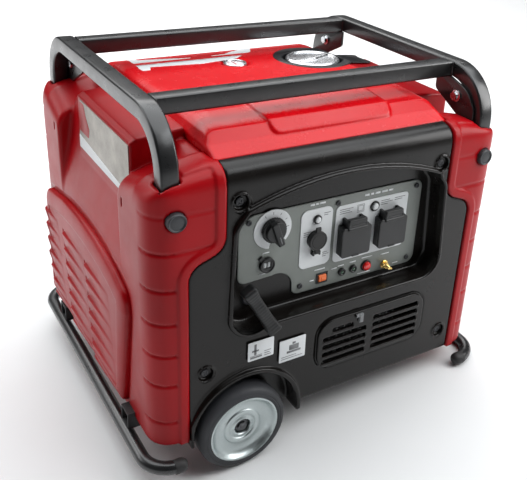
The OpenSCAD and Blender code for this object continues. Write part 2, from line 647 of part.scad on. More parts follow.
module eco_rocker() color([0.95, 0.3, 0.08]) stand() intersection() {
    rod_x(plate_face + 6, eco_at[1], eco_at[0] - 7.5, eco_at[0] + 7.5, 10.5);
    block(eco_at[0] - 9, plate_face - 6, eco_at[1] - 6.5, eco_at[0] + 9, plate_face + 6, eco_at[1] + 6.5);
}
module pilot_lamps() color([0.05, 0.05, 0.05]) stand() for (p = lamp_spots) {
    rod_y(p, plate_face - 3, plate_face, 6.5);
    rod_y(p, plate_face, recess_y + 10, 5);
    rod_y(p, plate_face - 5, plate_face - 3, 3.5);
}
module push_button() color([0.85, 0.05, 0.05]) stand()
    rod_y(button_at, plate_face - 6, recess_y + 8, button_r);
module earth_stud() color([0.75, 0.6, 0.25]) stand() {
    rod_y(earth_at, plate_face - 12, recess_y + 8, 3);
    rod_y(earth_at, plate_face - 17, plate_face - 12, 2.8);
    difference() {
        rod_y(earth_at, plate_face - 2, plate_face, 8);
        rod_y(earth_at, plate_face - 3, plate_face + 1, 3);
    }
}
module earth_nut() color([0.8, 0.65, 0.3]) stand() difference() {
    union() {
        rod_y(earth_at, plate_face - 9, plate_face - 2.4, 5.5);
        for (a = [35, 215]) translate([earth_at[0], 0, earth_at[1]]) rotate([0, a, 0])
            block(2, plate_face - 11, -1.3, 15, plate_face - 4, 1.3);
    }
    rod_y(earth_at, plate_face - 12, plate_face - 1, 3 + run);
}

// ---- recoil starter -------------------------------------------------------------------------

pulley_r = 50;
pulley_x = grip_at[0];
shroud_r = 95;
module recoil_grip() color([0.04, 0.04, 0.04]) stand() {
    translate([grip_at[0], grip_y, grip_at[1]]) rotate([0, -30, 0]) {
        translate([0, 0, -grip_l / 2 + 12]) cylinder(grip_l - 24, r = 12);
        for (s = [-1, 1]) translate([0, 0, s * (grip_l / 2 - 12)]) sphere(12);
    }
    rod_y(grip_at, grip_y, recess_y - 20, 8);
}
module recoil_rope() color([0.5, 0.5, 0.5]) stand() rod_y(grip_at, recess_y - 20, rope_end, rope_r);
module recoil_pulley() color([0.3, 0.3, 0.32]) stand() translate([pulley_x, 0, crank_z])
    rotate([0, 90, 0]) rotate_extrude($fn = 96) polygon([[8 + run, -7], [pulley_r + 8, -7],
        [pulley_r + 8, -4.5], [pulley_r - rope_r - 0.5, -3.2], [pulley_r - rope_r - 0.5, 3.2],
        [pulley_r + 8, 4.5], [pulley_r + 8, 7], [8 + run, 7]]);
module recoil_housing() color([0.12, 0.12, 0.13]) stand() {
    difference() {
        rod_x(0, crank_z, -192, -46, shroud_r);
        rod_x(0, crank_z, -189, -45, shroud_r - 3);
        block(pulley_x - 8, -120, grip_at[1] - 8, pulley_x + 8, 120, grip_at[1] + 8);
        for (a = [0 : 30 : 330]) translate([-193, 0, crank_z]) rotate([a, 0, 0])
            block(0, -4, 30, 5, 4, 80);
    }
    rod_x(0, crank_z, -189, -138, 8);
}

// ---- engine, alternator and what they need --------------------------------------------------

module engine_block() color([0.6, 0.6, 0.6]) stand() {
    difference() {
        union() {
            block(-46, -85, 96, 70, 85, 262);
            block(-60, -105, 84, 90, 105, 96);
            block(-26, -45, 262, 56, 45, 340);
            for (i = [0 : 5]) block(-38, -57, 270 + 12 * i, 68, 57, 275 + 12 * i);
            rod_y([10, 150], -95, -85, 12);
        }
        rod_x(0, crank_z, -47, 40, crank_bore);
    }
    block(-30, -50, 340, 60, 50, 364);
    rod_y([10, 150], -103, -95, 14);
    rod_x(0, 300, 68, 82, 6);
}
module engine_mounts() color([0.08, 0.08, 0.08]) stand()
    for (x = [-45, 75]) for (y = [-90, 90]) rod_z(x, y, deck_z, 84, 16);
module crank_rotor() color([0.45, 0.45, 0.47]) stand() translate([0, 0, crank_z]) rotate([0, 90, 0]) {
    translate([0, 0, -130]) cylinder(168, r = 12.5);
    translate([0, 0, -112]) rotate_extrude($fn = 96)
        polygon([[12, 0], [84, 0], [84, 60], [74, 60], [74, 8], [12, 8]]);
    for (a = [0 : 30 : 330]) rotate(a) translate([30, -1.5, -124]) cube([52, 3, 12.5]);
}
module stator() color([0.7, 0.4, 0.15]) stand() difference() {
    union() {
        rod_x(0, crank_z, -98, -50, 70);
        rod_x(0, crank_z, -50, -46, 40);
    }
    rod_x(0, crank_z, -99, -45, 16);
    for (a = [0 : 20 : 340]) translate([-99, 0, crank_z]) rotate([a, 0, 0]) block(0, -2, 45, 49.5, 2, 75);
}
module muffler() color([0.35, 0.34, 0.33]) stand() difference() {
    union() {
        along_y(-120, 100) polygon(round_rect(100, 120, 250, 320, 40));
        rod_x(0, 300, 82, 101, 14);
        rod_y(tail_at, 99, body_half_d, tail_r - 1);
        rod_y(tail_at, body_half_d, body_half_d + 12, tail_r);
    }
    along_y(-117, 97) polygon(round_rect(103, 123, 247, 317, 37));
    rod_y(tail_at, 96, body_half_d + 13, tail_r - 2);
}
module air_filter() color([0.1, 0.1, 0.1]) stand() {
    along_z(250, 345) polygon(round_rect(-60, 115, 80, 215, 15));
    rod_y([15, 300], 57.5, 115, 18);
}
module inverter_module() color([0.4, 0.42, 0.45]) stand() {
    block(-60, -205, 62, 170, -150, 205);
    for (i = [0 : 14]) block(-56 + 15.6 * i, -225, 66, -53 + 15.6 * i, -205, 201);
    for (x = [-40, 150]) block(x - 8, -200, deck_z, x + 8, -155, 62);
}
module battery() color([0.15, 0.15, 0.16]) stand() {
    block(110, 126, deck_z, 260, 220, 150);
    for (x = [135, 235]) rod_z(x, 173, 150, 160, 8);
}
module labels() color([0.9, 0.9, 0.9]) stand() {
    block(-167, front_y - 0.6, 156, -121, front_y, 191);
    block(-110, front_y - 0.6, 133, -61, front_y, 175);
    both_x() block(block_x, -144, 404, block_x + 1.5, 77, 491);
}

base_tray();
cross_members();
skid_left();
skid_right();
skid_caps();
hoop_left();
hoop_right();
crossbar_front();
crossbar_rear();
gusset_bolts();
axle();
tyre_front();
rim_front();
tyre_rear();
rim_rear();
hub_nuts();
side_shell_left();
side_shell_right();
louver_cover_left();
louver_cover_right();
corner_plugs();
front_fascia();
recess_tub();
front_grille();
rear_cover();
top_cover();
fuel_dish();
fuel_cap();
fuel_gauge();
fuel_tank();
control_plate();
panel_inserts();
ac_sockets();
ac_lid_left();
ac_lid_right();
dc_socket();
dc_cap();
dc_breaker();
ac_breaker();
engine_knob();
aux_socket();
eco_rocker();
pilot_lamps();
push_button();
earth_stud();
earth_nut();
recoil_grip();
recoil_rope();
recoil_housing();
recoil_pulley();
panel_screws();
labels();
engine_block();
engine_mounts();
crank_rotor();
stator();
muffler();
air_filter();
inverter_module();
battery();
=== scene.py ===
import json
import math

import bpy
import numpy as np
from mathutils import Matrix, Vector


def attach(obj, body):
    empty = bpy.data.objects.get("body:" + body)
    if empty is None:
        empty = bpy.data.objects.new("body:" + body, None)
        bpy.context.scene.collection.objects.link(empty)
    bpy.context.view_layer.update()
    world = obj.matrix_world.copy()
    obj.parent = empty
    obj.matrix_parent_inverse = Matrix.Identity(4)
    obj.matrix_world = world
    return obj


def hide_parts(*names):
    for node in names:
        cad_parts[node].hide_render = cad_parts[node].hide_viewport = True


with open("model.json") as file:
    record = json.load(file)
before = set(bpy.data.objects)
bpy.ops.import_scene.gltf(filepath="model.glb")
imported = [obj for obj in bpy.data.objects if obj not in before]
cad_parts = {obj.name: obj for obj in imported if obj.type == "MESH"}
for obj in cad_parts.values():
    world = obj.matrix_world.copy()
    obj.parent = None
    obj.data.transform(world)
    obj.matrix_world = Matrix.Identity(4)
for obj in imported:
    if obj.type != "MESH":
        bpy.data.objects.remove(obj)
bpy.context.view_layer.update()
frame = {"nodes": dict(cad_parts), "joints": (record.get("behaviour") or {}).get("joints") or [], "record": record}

# Sizes are millimetres in the body's own upright frame, front = -Y, as in the part's source.
# place() leans them onto the wheels and the right skid, into the frame's metres.
MM = 0.001
joints = {j["name"]: j for j in frame["joints"]}
cap_axis = joints["fuel_cap_turn"]["axis"]
LEAN = math.atan2(cap_axis[0], cap_axis[2])
WHEEL = np.array([-177.0, -271.5, 38.0])  # the front wheel's centre
LEAN_TURN = np.array([[math.cos(LEAN), 0, math.sin(LEAN)], [0, 1, 0], [-math.sin(LEAN), 0, math.cos(LEAN)]])
ORIGIN = np.array(joints["wheel_front_spin"]["pos_m"]) - LEAN_TURN @ WHEEL * MM


def place(points):
    return np.asarray(points, float) * MM @ LEAN_TURN.T + ORIGIN


# ---- camera, light and floor

CAMERA_AT = Vector((-0.5681, -1.1145, 0.9716))
CAMERA_TARGET = Vector((0.02615, -0.1637, 0.3844))


def aim(obj, target, roll=0.0):
    turn = (Vector(target) - obj.location).to_track_quat("-Z", "Y").to_matrix().to_4x4()
    obj.matrix_world = Matrix.Translation(obj.location) @ turn @ Matrix.Rotation(math.radians(roll), 4, "Z")


scene = bpy.context.scene
lens = bpy.data.cameras.new("camera")
lens.lens = 52.05
lens.sensor_width = 36
lens.shift_x = -0.0846
lens.shift_y = -0.0829
camera = bpy.data.objects.new("camera", lens)
scene.collection.objects.link(camera)
camera.location = CAMERA_AT
aim(camera, CAMERA_TARGET, -0.23)
scene.camera = camera


def softbox(name, at, target, size, watts, color=(1, 1, 1)):
    data = bpy.data.lights.new(name, "AREA")
    data.shape = "RECTANGLE"
    data.size, data.size_y = size
    data.energy = watts
    data.color = color
    lamp = bpy.data.objects.new(name, data)
    scene.collection.objects.link(lamp)
    lamp.location = at
    aim(lamp, target)


softbox("sky", (0.35, 0.35, 2.7), (0.2, 0.1, 0.3), (4.0, 3.0), 112, (0.95, 0.98, 1.0))
softbox("brow", (1.6, -1.6, 2.7), (0.2, -0.2, 0.4), (2.2, 1.0), 24, (0.95, 0.98, 1.0))
softbox("backdrop", (-0.2, 3.0, 2.6), (-0.2, 3.6, 0), (7.0, 2.4), 190)
softbox("right", (1.25, -0.95, 0.95), (0.3, -0.2, 0.35), (0.7, 0.9), 13)
softbox("back_left", (-2.6, 1.6, 1.5), (-0.2, 0, 0.35), (1.8, 1.6), 19, (0.97, 0.98, 1.0))

world = bpy.data.worlds.new("studio")
scene.world = world
world.use_nodes = True
sky = world.node_tree
background = sky.nodes["Background"]
background.inputs["Color"].default_value = (0.94, 0.96, 1.0, 1)
# the sky is pale to look at, and gives only a little light
strength = sky.nodes.new("ShaderNodeMapRange")
strength.inputs["To Min"].default_value = 0.05
strength.inputs["To Max"].default_value = 0.95
ray = sky.nodes.new("ShaderNodeLightPath")
sky.links.new(ray.outputs["Is Camera Ray"], strength.inputs["Value"])
sky.links.new(strength.outputs["Result"], background.inputs["Strength"])
scene.view_settings.view_transform = "Standard"


# ---- finishes

finishes = {}


class Nodes:
    def __init__(self, name):
        self.name = name
        self.material = bpy.data.materials.new(name)
        self.material.use_nodes = True
        self.tree = self.material.node_tree
        self.shader = self.tree.nodes["Principled BSDF"]
        self.where = self.add("ShaderNodeTexCoord").outputs["Object"]

    def add(self, kind, **settings):
        node = self.tree.nodes.new(kind)
        for key, value in settings.items():
            setattr(node, key, value)
        return node

    def link(self, output, socket):
        self.tree.links.new(output, socket)

    def noise(self, scale, detail=3.0, roughness=0.5, stretch=None):
        node = self.add("ShaderNodeTexNoise")
        node.inputs["Scale"].default_value = scale
        node.inputs["Detail"].default_value = detail
        node.inputs["Roughness"].default_value = roughness
        where = self.where
        if stretch:
            scaling = self.add("ShaderNodeMapping")
            scaling.inputs["Scale"].default_value = stretch
            self.link(where, scaling.inputs["Vector"])
            where = scaling.outputs["Vector"]
        self.link(where, node.inputs["Vector"])
        return node.outputs["Fac"]

    def ramp(self, value, stops):
        node = self.add("ShaderNodeValToRGB")
        ramp = node.color_ramp
        while len(ramp.elements) < len(stops):
            ramp.elements.new(0.5)
        for element, (at, color) in zip(ramp.elements, stops):
            element.position = at
            element.color = (*color, 1)
        self.link(value, node.inputs["Fac"])
        return node.outputs["Color"]

    def remap(self, value, low, high, start=0.3, end=0.7):
        node = self.add("ShaderNodeMapRange")
        for name, number in (("From Min", start), ("From Max", end), ("To Min", low), ("To Max", high)):
            node.inputs[name].default_value = number
        self.link(value, node.inputs["Value"])
        return node.outputs["Result"]

    def bump(self, value, strength, distance, under=None):
        node = self.add("ShaderNodeBump")
        node.inputs["Strength"].default_value = strength
        node.inputs["Distance"].default_value = distance
        self.link(value, node.inputs["Height"])
        if under is not None:
            self.link(under, node.inputs["Normal"])
        return node.outputs["Normal"]

    def finish(self, color, rough, normal=None, **constants):
        self.link(color, self.shader.inputs["Base Color"])
        self.link(rough, self.shader.inputs["Roughness"])
        if normal is not None:
            self.link(normal, self.shader.inputs["Normal"])
        for name, number in constants.items():
            self.shader.inputs[name.replace("_", " ")].default_value = number
        finishes[self.name] = self.material


def shade(color, factor):
    return tuple(min(1, channel * factor) for channel in color)


def moulded(name, color, rough, vary=0.12, grain=900, depth=0.00004, wave=0.0, **constants):
    """Moulded plastic or rubber: slow colour drift, uneven gloss, a fine grain and slight sink waves."""
    n = Nodes(name)
    drift = n.noise(7, 4)
    tint = n.ramp(drift, [(0.3, shade(color, 1 - vary)), (0.7, shade(color, 1 + vary))])
    gloss = n.remap(n.noise(22, 5, 0.6), rough * 0.88, rough * 1.14)
    normal = n.bump(n.noise(grain, 2), 0.5, depth)
    if wave:
        normal = n.bump(n.noise(9, 1), 0.5, wave, normal)
    n.finish(tint, gloss, normal, **constants)


def coated(name, color, rough, metallic=0.0, dust=0.06, **constants):
    """Powder coat or paint on steel: orange peel, faint dust and rubbed patches."""
    n = Nodes(name)
    patch = n.noise(14, 6, 0.65)
    tint = n.ramp(patch, [(0.25, shade(color, 0.85)), (0.6, color), (0.8, shade(color, 1 + 3 * dust))])
    gloss = n.remap(n.noise(40, 4, 0.6), rough * 0.85, rough * 1.2)
    peel = n.bump(n.noise(420, 2), 0.35, 0.00008)
    n.finish(tint, gloss, peel, Metallic=metallic, **constants)


def metal(name, color, rough, stretch=None, vary=0.1, depth=0.00003, **constants):
    """Bare or plated metal with fine tool marks or plating haze."""
    n = Nodes(name)
    tint = n.ramp(n.noise(30, 5, 0.6), [(0.3, shade(color, 1 - vary)), (0.7, shade(color, 1 + vary))])
    marks = n.noise(260, 3, 0.6, stretch)
    gloss = n.remap(marks, rough * 0.75, rough * 1.3)
    n.finish(tint, gloss, n.bump(marks, 0.35, depth), Metallic=1.0, **constants)


# side_red and top_red are one red plastic in two copies. side_red is the darker, shaded copy, with painted shade
# in its colour. top_red is a lighter copy, with painted light for the lit top cover.
SIDE_RED_SHADED = (0.34, 0.0008, 0.004)
BLACK = (0.0065, 0.0052, 0.0045)
moulded("side_red", SIDE_RED_SHADED, 0.34, 0.1, 700, 0.00001, 0.0002, Specular_IOR_Level=0.22)
moulded("top_red", (0.6, 0.0015, 0.006), 0.26, 0.06, 500, 0.000006, 0.00008, Specular_IOR_Level=0.3)
moulded("fascia_black", BLACK, 0.25, 0.2, 900, 0.00003, Specular_IOR_Level=0.3)
moulded("plug_black", (0.035, 0.036, 0.04), 0.45, 0.2)
moulded("dish_black", (0.012, 0.0125, 0.014), 0.34, 0.2)
moulded("switch_black", (0.009, 0.009, 0.0095), 0.42, 0.25, 1400, 0.00003)
moulded("grip_black", (0.006, 0.006, 0.0065), 0.5, 0.25, 1100, 0.00007)
moulded("black_rubber", (0.018, 0.017, 0.017), 0.6, 0.25, 500, 0.0001)
moulded("tyre_rubber", (0.028, 0.029, 0.033), 0.62, 0.3, 380, 0.00016)
moulded("rocker_orange", (0.9, 0.2, 0.06), 0.35, 0.1)
moulded("button_red", (0.75, 0.01, 0.008), 0.25, 0.1, Coat_Weight=0.5, Coat_Roughness=0.1)
moulded("insert_white", (0.72, 0.74, 0.75), 0.4, 0.04, 1500, 0.00001)
metal("label_silver", (0.36, 0.34, 0.31), 0.45, (1, 14, 1), 0.2)
coated("frame_paint", (0.012, 0.012, 0.0125), 0.3, Coat_Weight=0.35, Coat_Roughness=0.2)
coated("tray_steel", (0.025, 0.025, 0.026), 0.5)
coated("muffler_steel", (0.1, 0.085, 0.075), 0.62, 0.6)
coated("plate_grey", (0.2, 0.215, 0.2), 0.42, 0.25, 0.03)
metal("zinc_bolts", (0.66, 0.68, 0.7), 0.24, None, 0.15, 0.00008)
metal("steel", (0.42, 0.42, 0.43), 0.38, (1, 1, 12))
metal("zinc_rim", (0.5, 0.55, 0.55), 0.4, None, 0.03, 0)
metal("cap_chrome", (0.74, 0.75, 0.77), 0.28, None, 0.03, 0)
metal("brass", (0.8, 0.56, 0.2), 0.25, None, 0.12)
metal("cast_aluminium", (0.55, 0.55, 0.55), 0.55, None, 0.15, 0.0003)
metal("rotor_iron", (0.22, 0.21, 0.21), 0.5, None, 0.2, 0.0002)
metal("copper", (0.75, 0.36, 0.2), 0.4, (40, 1, 1), 0.2, 0.0002)
metal("hub_dark", (0.11, 0.11, 0.115), 0.42)
moulded("lamp_lens", (0.01, 0.05, 0.02), 0.2, 0.2, Coat_Weight=0.6, Coat_Roughness=0.08)
moulded("print_grey", (0.16, 0.165, 0.17), 0.5, 0.15)
moulded("rope", (0.3, 0.29, 0.27), 0.8, 0.3, 600, 0.0005)


# ---- shapes

def smin(a, b, r):
    h = np.maximum(r - np.abs(a - b), 0) / r
    return np.minimum(a, b) - h * h * r / 4


def smax(a, b, r):
    return -smin(-a, -b, r)


def step01(value, start, end):
    t = np.clip((value - start) / (end - start), 0, 1)
    return t * t * (3 - 2 * t)


def rect2(a, b, half_a, half_b, r=0.0):
    qa, qb = np.abs(a) - half_a + r, np.abs(b) - half_b + r
    return np.hypot(np.maximum(qa, 0), np.maximum(qb, 0)) + np.minimum(np.maximum(qa, qb), 0) - r


def box3(a, b, c, half_a, half_b, half_c, r=0.0):
    qa, qb, qc = np.abs(a) - half_a + r, np.abs(b) - half_b + r, np.abs(c) - half_c + r
    out = np.sqrt(np.maximum(qa, 0) ** 2 + np.maximum(qb, 0) ** 2 + np.maximum(qc, 0) ** 2)
    return out + np.minimum(np.maximum(np.maximum(qa, qb), qc), 0) - r


def spun(a, b, degrees):
    """Two coordinates, turned by an angle."""
    t = math.radians(degrees)
    return a * math.cos(t) - b * math.sin(t), a * math.sin(t) + b * math.cos(t)


def poly2(a, b, outline):
    """Signed distance to a closed outline in two of the axes."""
    a, b = np.broadcast_arrays(np.asarray(a, float), np.asarray(b, float))
    best = np.full(a.shape, 1e12)
    inside = np.zeros(a.shape, bool)
    for (ax, ay), (bx, by) in zip(outline, list(outline[1:]) + [outline[0]]):
        ex, ey = bx - ax, by - ay
        if ex * ex + ey * ey < 1e-12:
            continue
        wx, wy = a - ax, b - ay
        t = np.clip((wx * ex + wy * ey) / (ex * ex + ey * ey), 0, 1)
        best = np.minimum(best, (wx - ex * t) ** 2 + (wy - ey * t) ** 2)
        if ey:
            inside ^= ((ay <= b) != (by <= b)) & (wx < ex * wy / ey)
    return np.where(inside, -1, 1) * np.sqrt(best)


def arc(cx, cy, r, start, end, n=12):
    angles = np.radians(np.linspace(start, end, n + 1))
    return [(cx + r * math.cos(t), cy + r * math.sin(t)) for t in angles]


def round_rect(x0, y0, x1, y1, r, n=8):
    return (arc(x1 - r, y1 - r, r, 0, 90, n) + arc(x0 + r, y1 - r, r, 90, 180, n)
            + arc(x0 + r, y0 + r, r, 180, 270, n) + arc(x1 - r, y0 + r, r, 270, 360, n))


def mirrored(points):
    return [(-a, b) for a, b in reversed(points)]


def surface_net(field, low, high, step):
    """A closed quad mesh of where field is zero, with its points moved onto the surface."""
    ax = [np.arange(l, h + step, step) for l, h in zip(low, high)]
    grid = ax[0][:, None, None], ax[1][None, :, None], ax[2][None, None, :]
    v = np.broadcast_to(field(*grid), [len(a) for a in ax])
    s = v < 0
    n = [len(a) - 1 for a in ax]
    corner = [(i, j, k) for i in (0, 1) for j in (0, 1) for k in (0, 1)]
    count = sum(s[i:i + n[0], j:j + n[1], k:k + n[2]].astype(np.int8) for i, j, k in corner)
    cell = (count > 0) & (count < 8)
    at = np.argwhere(cell)
    index = -np.ones(cell.shape, np.int64)
    index[cell] = np.arange(len(at))
    total, hits = np.zeros((len(at), 3)), np.zeros(len(at))
    for a in corner:
        for axis in range(3):
            if a[axis]:
                continue
            b = list(a)
            b[axis] = 1
            va, vb = v[tuple((at + a).T)], v[tuple((at + b).T)]
            cross = (va < 0) != (vb < 0)
            t = np.where(cross, va / np.where(cross, va - vb, 1), 0)
            total += (np.array(a, float) + np.eye(3)[axis] * t[:, None]) * cross[:, None]
            hits += cross
    points = (at + total / hits[:, None]) * step + np.array(low)
    faces = []
    for axis in range(3):
        u, w = (axis + 1) % 3, (axis + 2) % 3
        lo, hi = [slice(None)] * 3, [slice(None)] * 3
        lo[axis], hi[axis] = slice(0, -1), slice(1, None)
        e = np.argwhere(s[tuple(lo)] != s[tuple(hi)])
        e = e[(e[:, u] > 0) & (e[:, w] > 0) & (e[:, u] < n[u]) & (e[:, w] < n[w])]
        quad = []
        for du, dw in ((1, 1), (0, 1), (0, 0), (1, 0)):
            c = e.copy()
            c[:, u] -= du
            c[:, w] -= dw
            quad.append(index[tuple(c.T)])
        quad = np.stack(quad, 1)
        inside = s[tuple(e.T)]
        quad[~inside] = quad[~inside][:, ::-1]
        faces.append(quad)
    return settle(field, points, step), np.concatenate(faces)


def settle(field, points, step):
    """Moves points onto the surface by two damped Newton steps."""
    tiny = 0.1
    for _ in range(2):
        x, y, z = points.T
        value = field(x, y, z)
        slope = np.stack([field(x + tiny, y, z) - value, field(x, y + tiny, z) - value,
                          field(x, y, z + tiny) - value], 1) / tiny
        size = np.maximum((slope ** 2).sum(1), 0.25)
        move = -value[:, None] * slope / size[:, None]
        length = np.linalg.norm(move, axis=1)
        move *= np.minimum(1, 0.5 * step / np.maximum(length, 1e-9))[:, None]
        points = points + move
    return points


def piece(name, points, faces, slot, body="root", nodes=(), sharp=None):
    mesh = bpy.data.meshes.new(name)
    mesh.from_pydata(place(points).tolist(), [], [list(map(int, f)) for f in faces])
    mesh.update()
    mesh.shade_smooth()
    if sharp:
        mesh.set_sharp_from_angle(angle=math.radians(sharp))
    mesh.materials.append(finishes[slot])
    obj = bpy.data.objects.new(name, mesh)
    scene.collection.objects.link(obj)
    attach(obj, body)
    if nodes:
        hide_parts(*([nodes] if isinstance(nodes, str) else nodes))
    return obj


def carve(name, field, low, high, step, slot, body="root", nodes=()):
    points, faces = surface_net(field, low, high, step)
    return piece(name, points, faces, slot, body, nodes)


def mirror(shape, x=1, y=1):
    """A shape turned over in x or y where that is -1, with its faces still looking outwards."""
    points, faces = shape
    return points * np.array([x, y, 1]), faces if x * y > 0 else [face[::-1] for face in faces]


def fillet(outline, radius, n=4):
    """Rounds each corner of a closed outline. radius is one number, or one for each corner."""
    radii = radius if hasattr(radius, "__len__") else [radius] * len(outline)
    out = []
    for i, (p, r) in enumerate(zip(outline, radii)):
        p = np.array(p, float)
        a = np.array(outline[i - 1], float) - p
        b = np.array(outline[(i + 1) % len(outline)], float) - p
        la, lb = np.linalg.norm(a), np.linalg.norm(b)
        a, b = a / la, b / lb
        reach = min(r, 0.45 * la, 0.45 * lb)
        if r <= 0:
            out.append(tuple(p))
            continue
        for t in np.linspace(0, 1, n + 1):
            out.append(tuple(p + a * reach * (1 - t) ** 2 + b * reach * t ** 2))
    return out


def lathe(profile, centre, axis, n=96):
    """A closed solid of revolution. profile is (radius, distance along the axis), a closed outline."""
    angles = np.linspace(0, 2 * math.pi, n, endpoint=False)
    prof = np.array(profile, float)
    rings = np.zeros((n, len(prof), 3))
    u, w = (axis + 1) % 3, (axis + 2) % 3
    rings[:, :, axis] = prof[None, :, 1]
    rings[:, :, u] = prof[None, :, 0] * np.cos(angles)[:, None]
    rings[:, :, w] = prof[None, :, 0] * np.sin(angles)[:, None]
    m = len(prof)
    i, j = np.meshgrid(np.arange(n), np.arange(m), indexing="ij")
    i2, j2 = (i + 1) % n, (j + 1) % m
    faces = np.stack([i * m + j, i2 * m + j, i2 * m + j2, i * m + j2], -1).reshape(-1, 4)
    keep = ~((prof[faces[:, 0] % m, 0] < 1e-6) & (prof[faces[:, 2] % m, 0] < 1e-6))
    area = sum(a[0] * b[1] - b[0] * a[1] for a, b in zip(prof, np.roll(prof, -1, 0)))
    faces = faces[keep] if area > 0 else faces[keep][:, ::-1]
    points = rings.reshape(-1, 3)
    # points on the axis are one point
    on_axis = prof[:, 0] < 1e-6
    merged = np.arange(len(points))
    for k in np.nonzero(on_axis)[0]:
        merged[k::m] = k
    faces = merged[faces]
    used = np.unique(faces)
    back = np.zeros(len(points), int)
    back[used] = np.arange(len(used))
    out = []
    for f in back[faces]:
        seen = list(dict.fromkeys(f.tolist()))
        if len(seen) > 2:
            out.append(seen)
    return points[used] + np.array(centre, float), out


def prism(outline, axis, start, end, bevel=0.0):
    """An outline, run either way, pushed along an axis, with a small round at both ends."""
    pts = np.array(outline, float)
    area = 0.5 * sum(a[0] * b[1] - b[0] * a[1] for a, b in zip(pts, np.roll(pts, -1, 0)))
    if area < 0:
        pts = pts[::-1]
    levels = [(0, start), (0, end)]
    if bevel:
        levels = [(bevel * (1 - math.sin(t)), start + bevel * (1 - math.cos(t)))
                  for t in np.linspace(0, math.pi / 2, 4)]
        levels += [(bevel * (1 - math.cos(t)), end - bevel * (1 - math.sin(t)))
                   for t in np.linspace(0, math.pi / 2, 4)]
    ahead = np.roll(pts, -1, 0) - pts
    ahead /= np.maximum(np.linalg.norm(ahead, axis=1), 1e-9)[:, None]
    behind = np.roll(ahead, 1, 0)
    inward = np.stack([-(ahead + behind)[:, 1], (ahead + behind)[:, 0]], 1)
    inward /= np.maximum(np.linalg.norm(inward, axis=1), 1e-9)[:, None]
    n = len(pts)
    u, w = (axis + 1) % 3, (axis + 2) % 3
    points = np.zeros((len(levels) * n, 3))
    for k, (inset, height) in enumerate(levels):
        ring = pts + inward * inset
        points[k * n:(k + 1) * n, u] = ring[:, 0]
        points[k * n:(k + 1) * n, w] = ring[:, 1]
        points[k * n:(k + 1) * n, axis] = height
    faces = []
    for k in range(len(levels) - 1):
        for i in range(n):
            j = (i + 1) % n
            faces.append([k * n + i, k * n + j, (k + 1) * n + j, (k + 1) * n + i])
    faces.append(list(range(n))[::-1])
    faces.append([(len(levels) - 1) * n + i for i in range(n)])
    return points, faces


def sweep(section, path, up):
    """A closed tube: a section carried along a path of 3-D points. up is square to the path's plane."""
    path = np.array(path, float)
    legs = np.diff(path, axis=0)
    legs /= np.linalg.norm(legs, axis=1)[:, None]
    tangent = np.concatenate([legs[:1], legs[1:] + legs[:-1], legs[-1:]])
    tangent /= np.linalg.norm(tangent, axis=1)[:, None]
    side = np.array(up, float)
    normal = np.cross(tangent, side)
    sec = np.array(section, float)
    points = (path[:, None, :] + sec[None, :, 0, None] * side[None, None, :]
              + sec[None, :, 1, None] * normal[:, None, :]).reshape(-1, 3)
    n, m = len(path), len(sec)
    faces = []
    for i in range(n - 1):
        for j in range(m):
            k = (j + 1) % m
            faces.append([i * m + j, i * m + k, (i + 1) * m + k, (i + 1) * m + j])
    faces.append(list(range(m))[::-1])
    faces.append([(n - 1) * m + j for j in range(m)])
    return points, faces


def joined(*parts):
    points, faces, base = [], [], 0
    for p, f in parts:
        points.append(np.asarray(p, float))
        faces += [[int(i) + base for i in face] for face in f]
        base += len(p)
    return np.concatenate(points), faces


# ---- the body's skin

HALF_W, HALF_D, CORNER = 322.0, 275.0, 50.0
BOTTOM, CROWN = 38.0, 494.0
TOP_HALF, TOP_REACH = 212.0, 241.5
SEAM = 0.6
PLUG_X, PLUG_Z = 281.0, 426.0
shoulder = ([(-200, -60), (HALF_W, -60)] + arc(HALF_W - 40, 436, 40, 0, 74)
            + [(TOP_HALF + 12, CROWN), (-200, CROWN)])
brow = [(-200, -60), (HALF_D, -60)] + arc(HALF_D - 38, CROWN - 38, 38, 0, 90) + [(-200, CROWN)]
fascia_half = ([(264, -60)] + arc(234, 325, 30, 0, 70) + arc(236, 388, 30, 250, 180) + [(206, CROWN + 60)])
fascia_outline = fascia_half + mirrored(fascia_half)


def hull(x, y, z):
    plan = rect2(x, y, HALF_W, HALF_D, CORNER)
    ax, ay = np.abs(x), np.abs(y)
    # the pillars' tops fall away towards the pocket between them
    fall = 22 * np.clip((212 - ay) / 65, 0, 1) * step01(ay, 141, 147) * step01(ax, 222, 246)
    side = poly2(ax, z + fall, shoulder)
    front = poly2(ay, z, brow)
    return smax(smax(smax(plan, side, 10), front, 12), BOTTOM - z, 4)


louver_arch = ([(-149, 50), (-184, 238)] + arc(-156, 250, 26, 175, 112, 8) + [(-133, 285.5), (-100, 292)]
               + arc(20, -460, 761.5, 98, 82, 12) + arc(214, 246, 31, 70, 0, 8) + [(245, 50)])
pocket_side = [(400, 304), (320, 304), (297, 400), (279, 520), (400, 520)]
block_side = [(202, 395), (297, 395), (297, 494), (287, 500), (202, 508)]
SHALLOW_GROOVE = 432
GROOVES = (SHALLOW_GROOVE, 376, 317, 261, 206, 152, 83)


def side_volume(x, y, z):
    v = hull(x, y, z)
    pocket = smax(poly2(x, z, pocket_side), np.abs(y) - 147, 8)
    v = smax(v, -pocket, 7)
    block = smax(poly2(x, z, block_side), np.abs(y + 26) - 121, 4)
    v = smin(v, block, 5)
    # the seat that the louvred cover sits in
    seat = poly2(y, z, louver_arch) - 7
    v = smax(v, -smax(seat, 318 - x, 3), 4)
    # a small slot in each pillar's inner edge
    slot = box3(x - 316, np.abs(y) - 168, z - 418, 12, 2.2, 7, 1.5)
    return smax(v, -slot, 1)


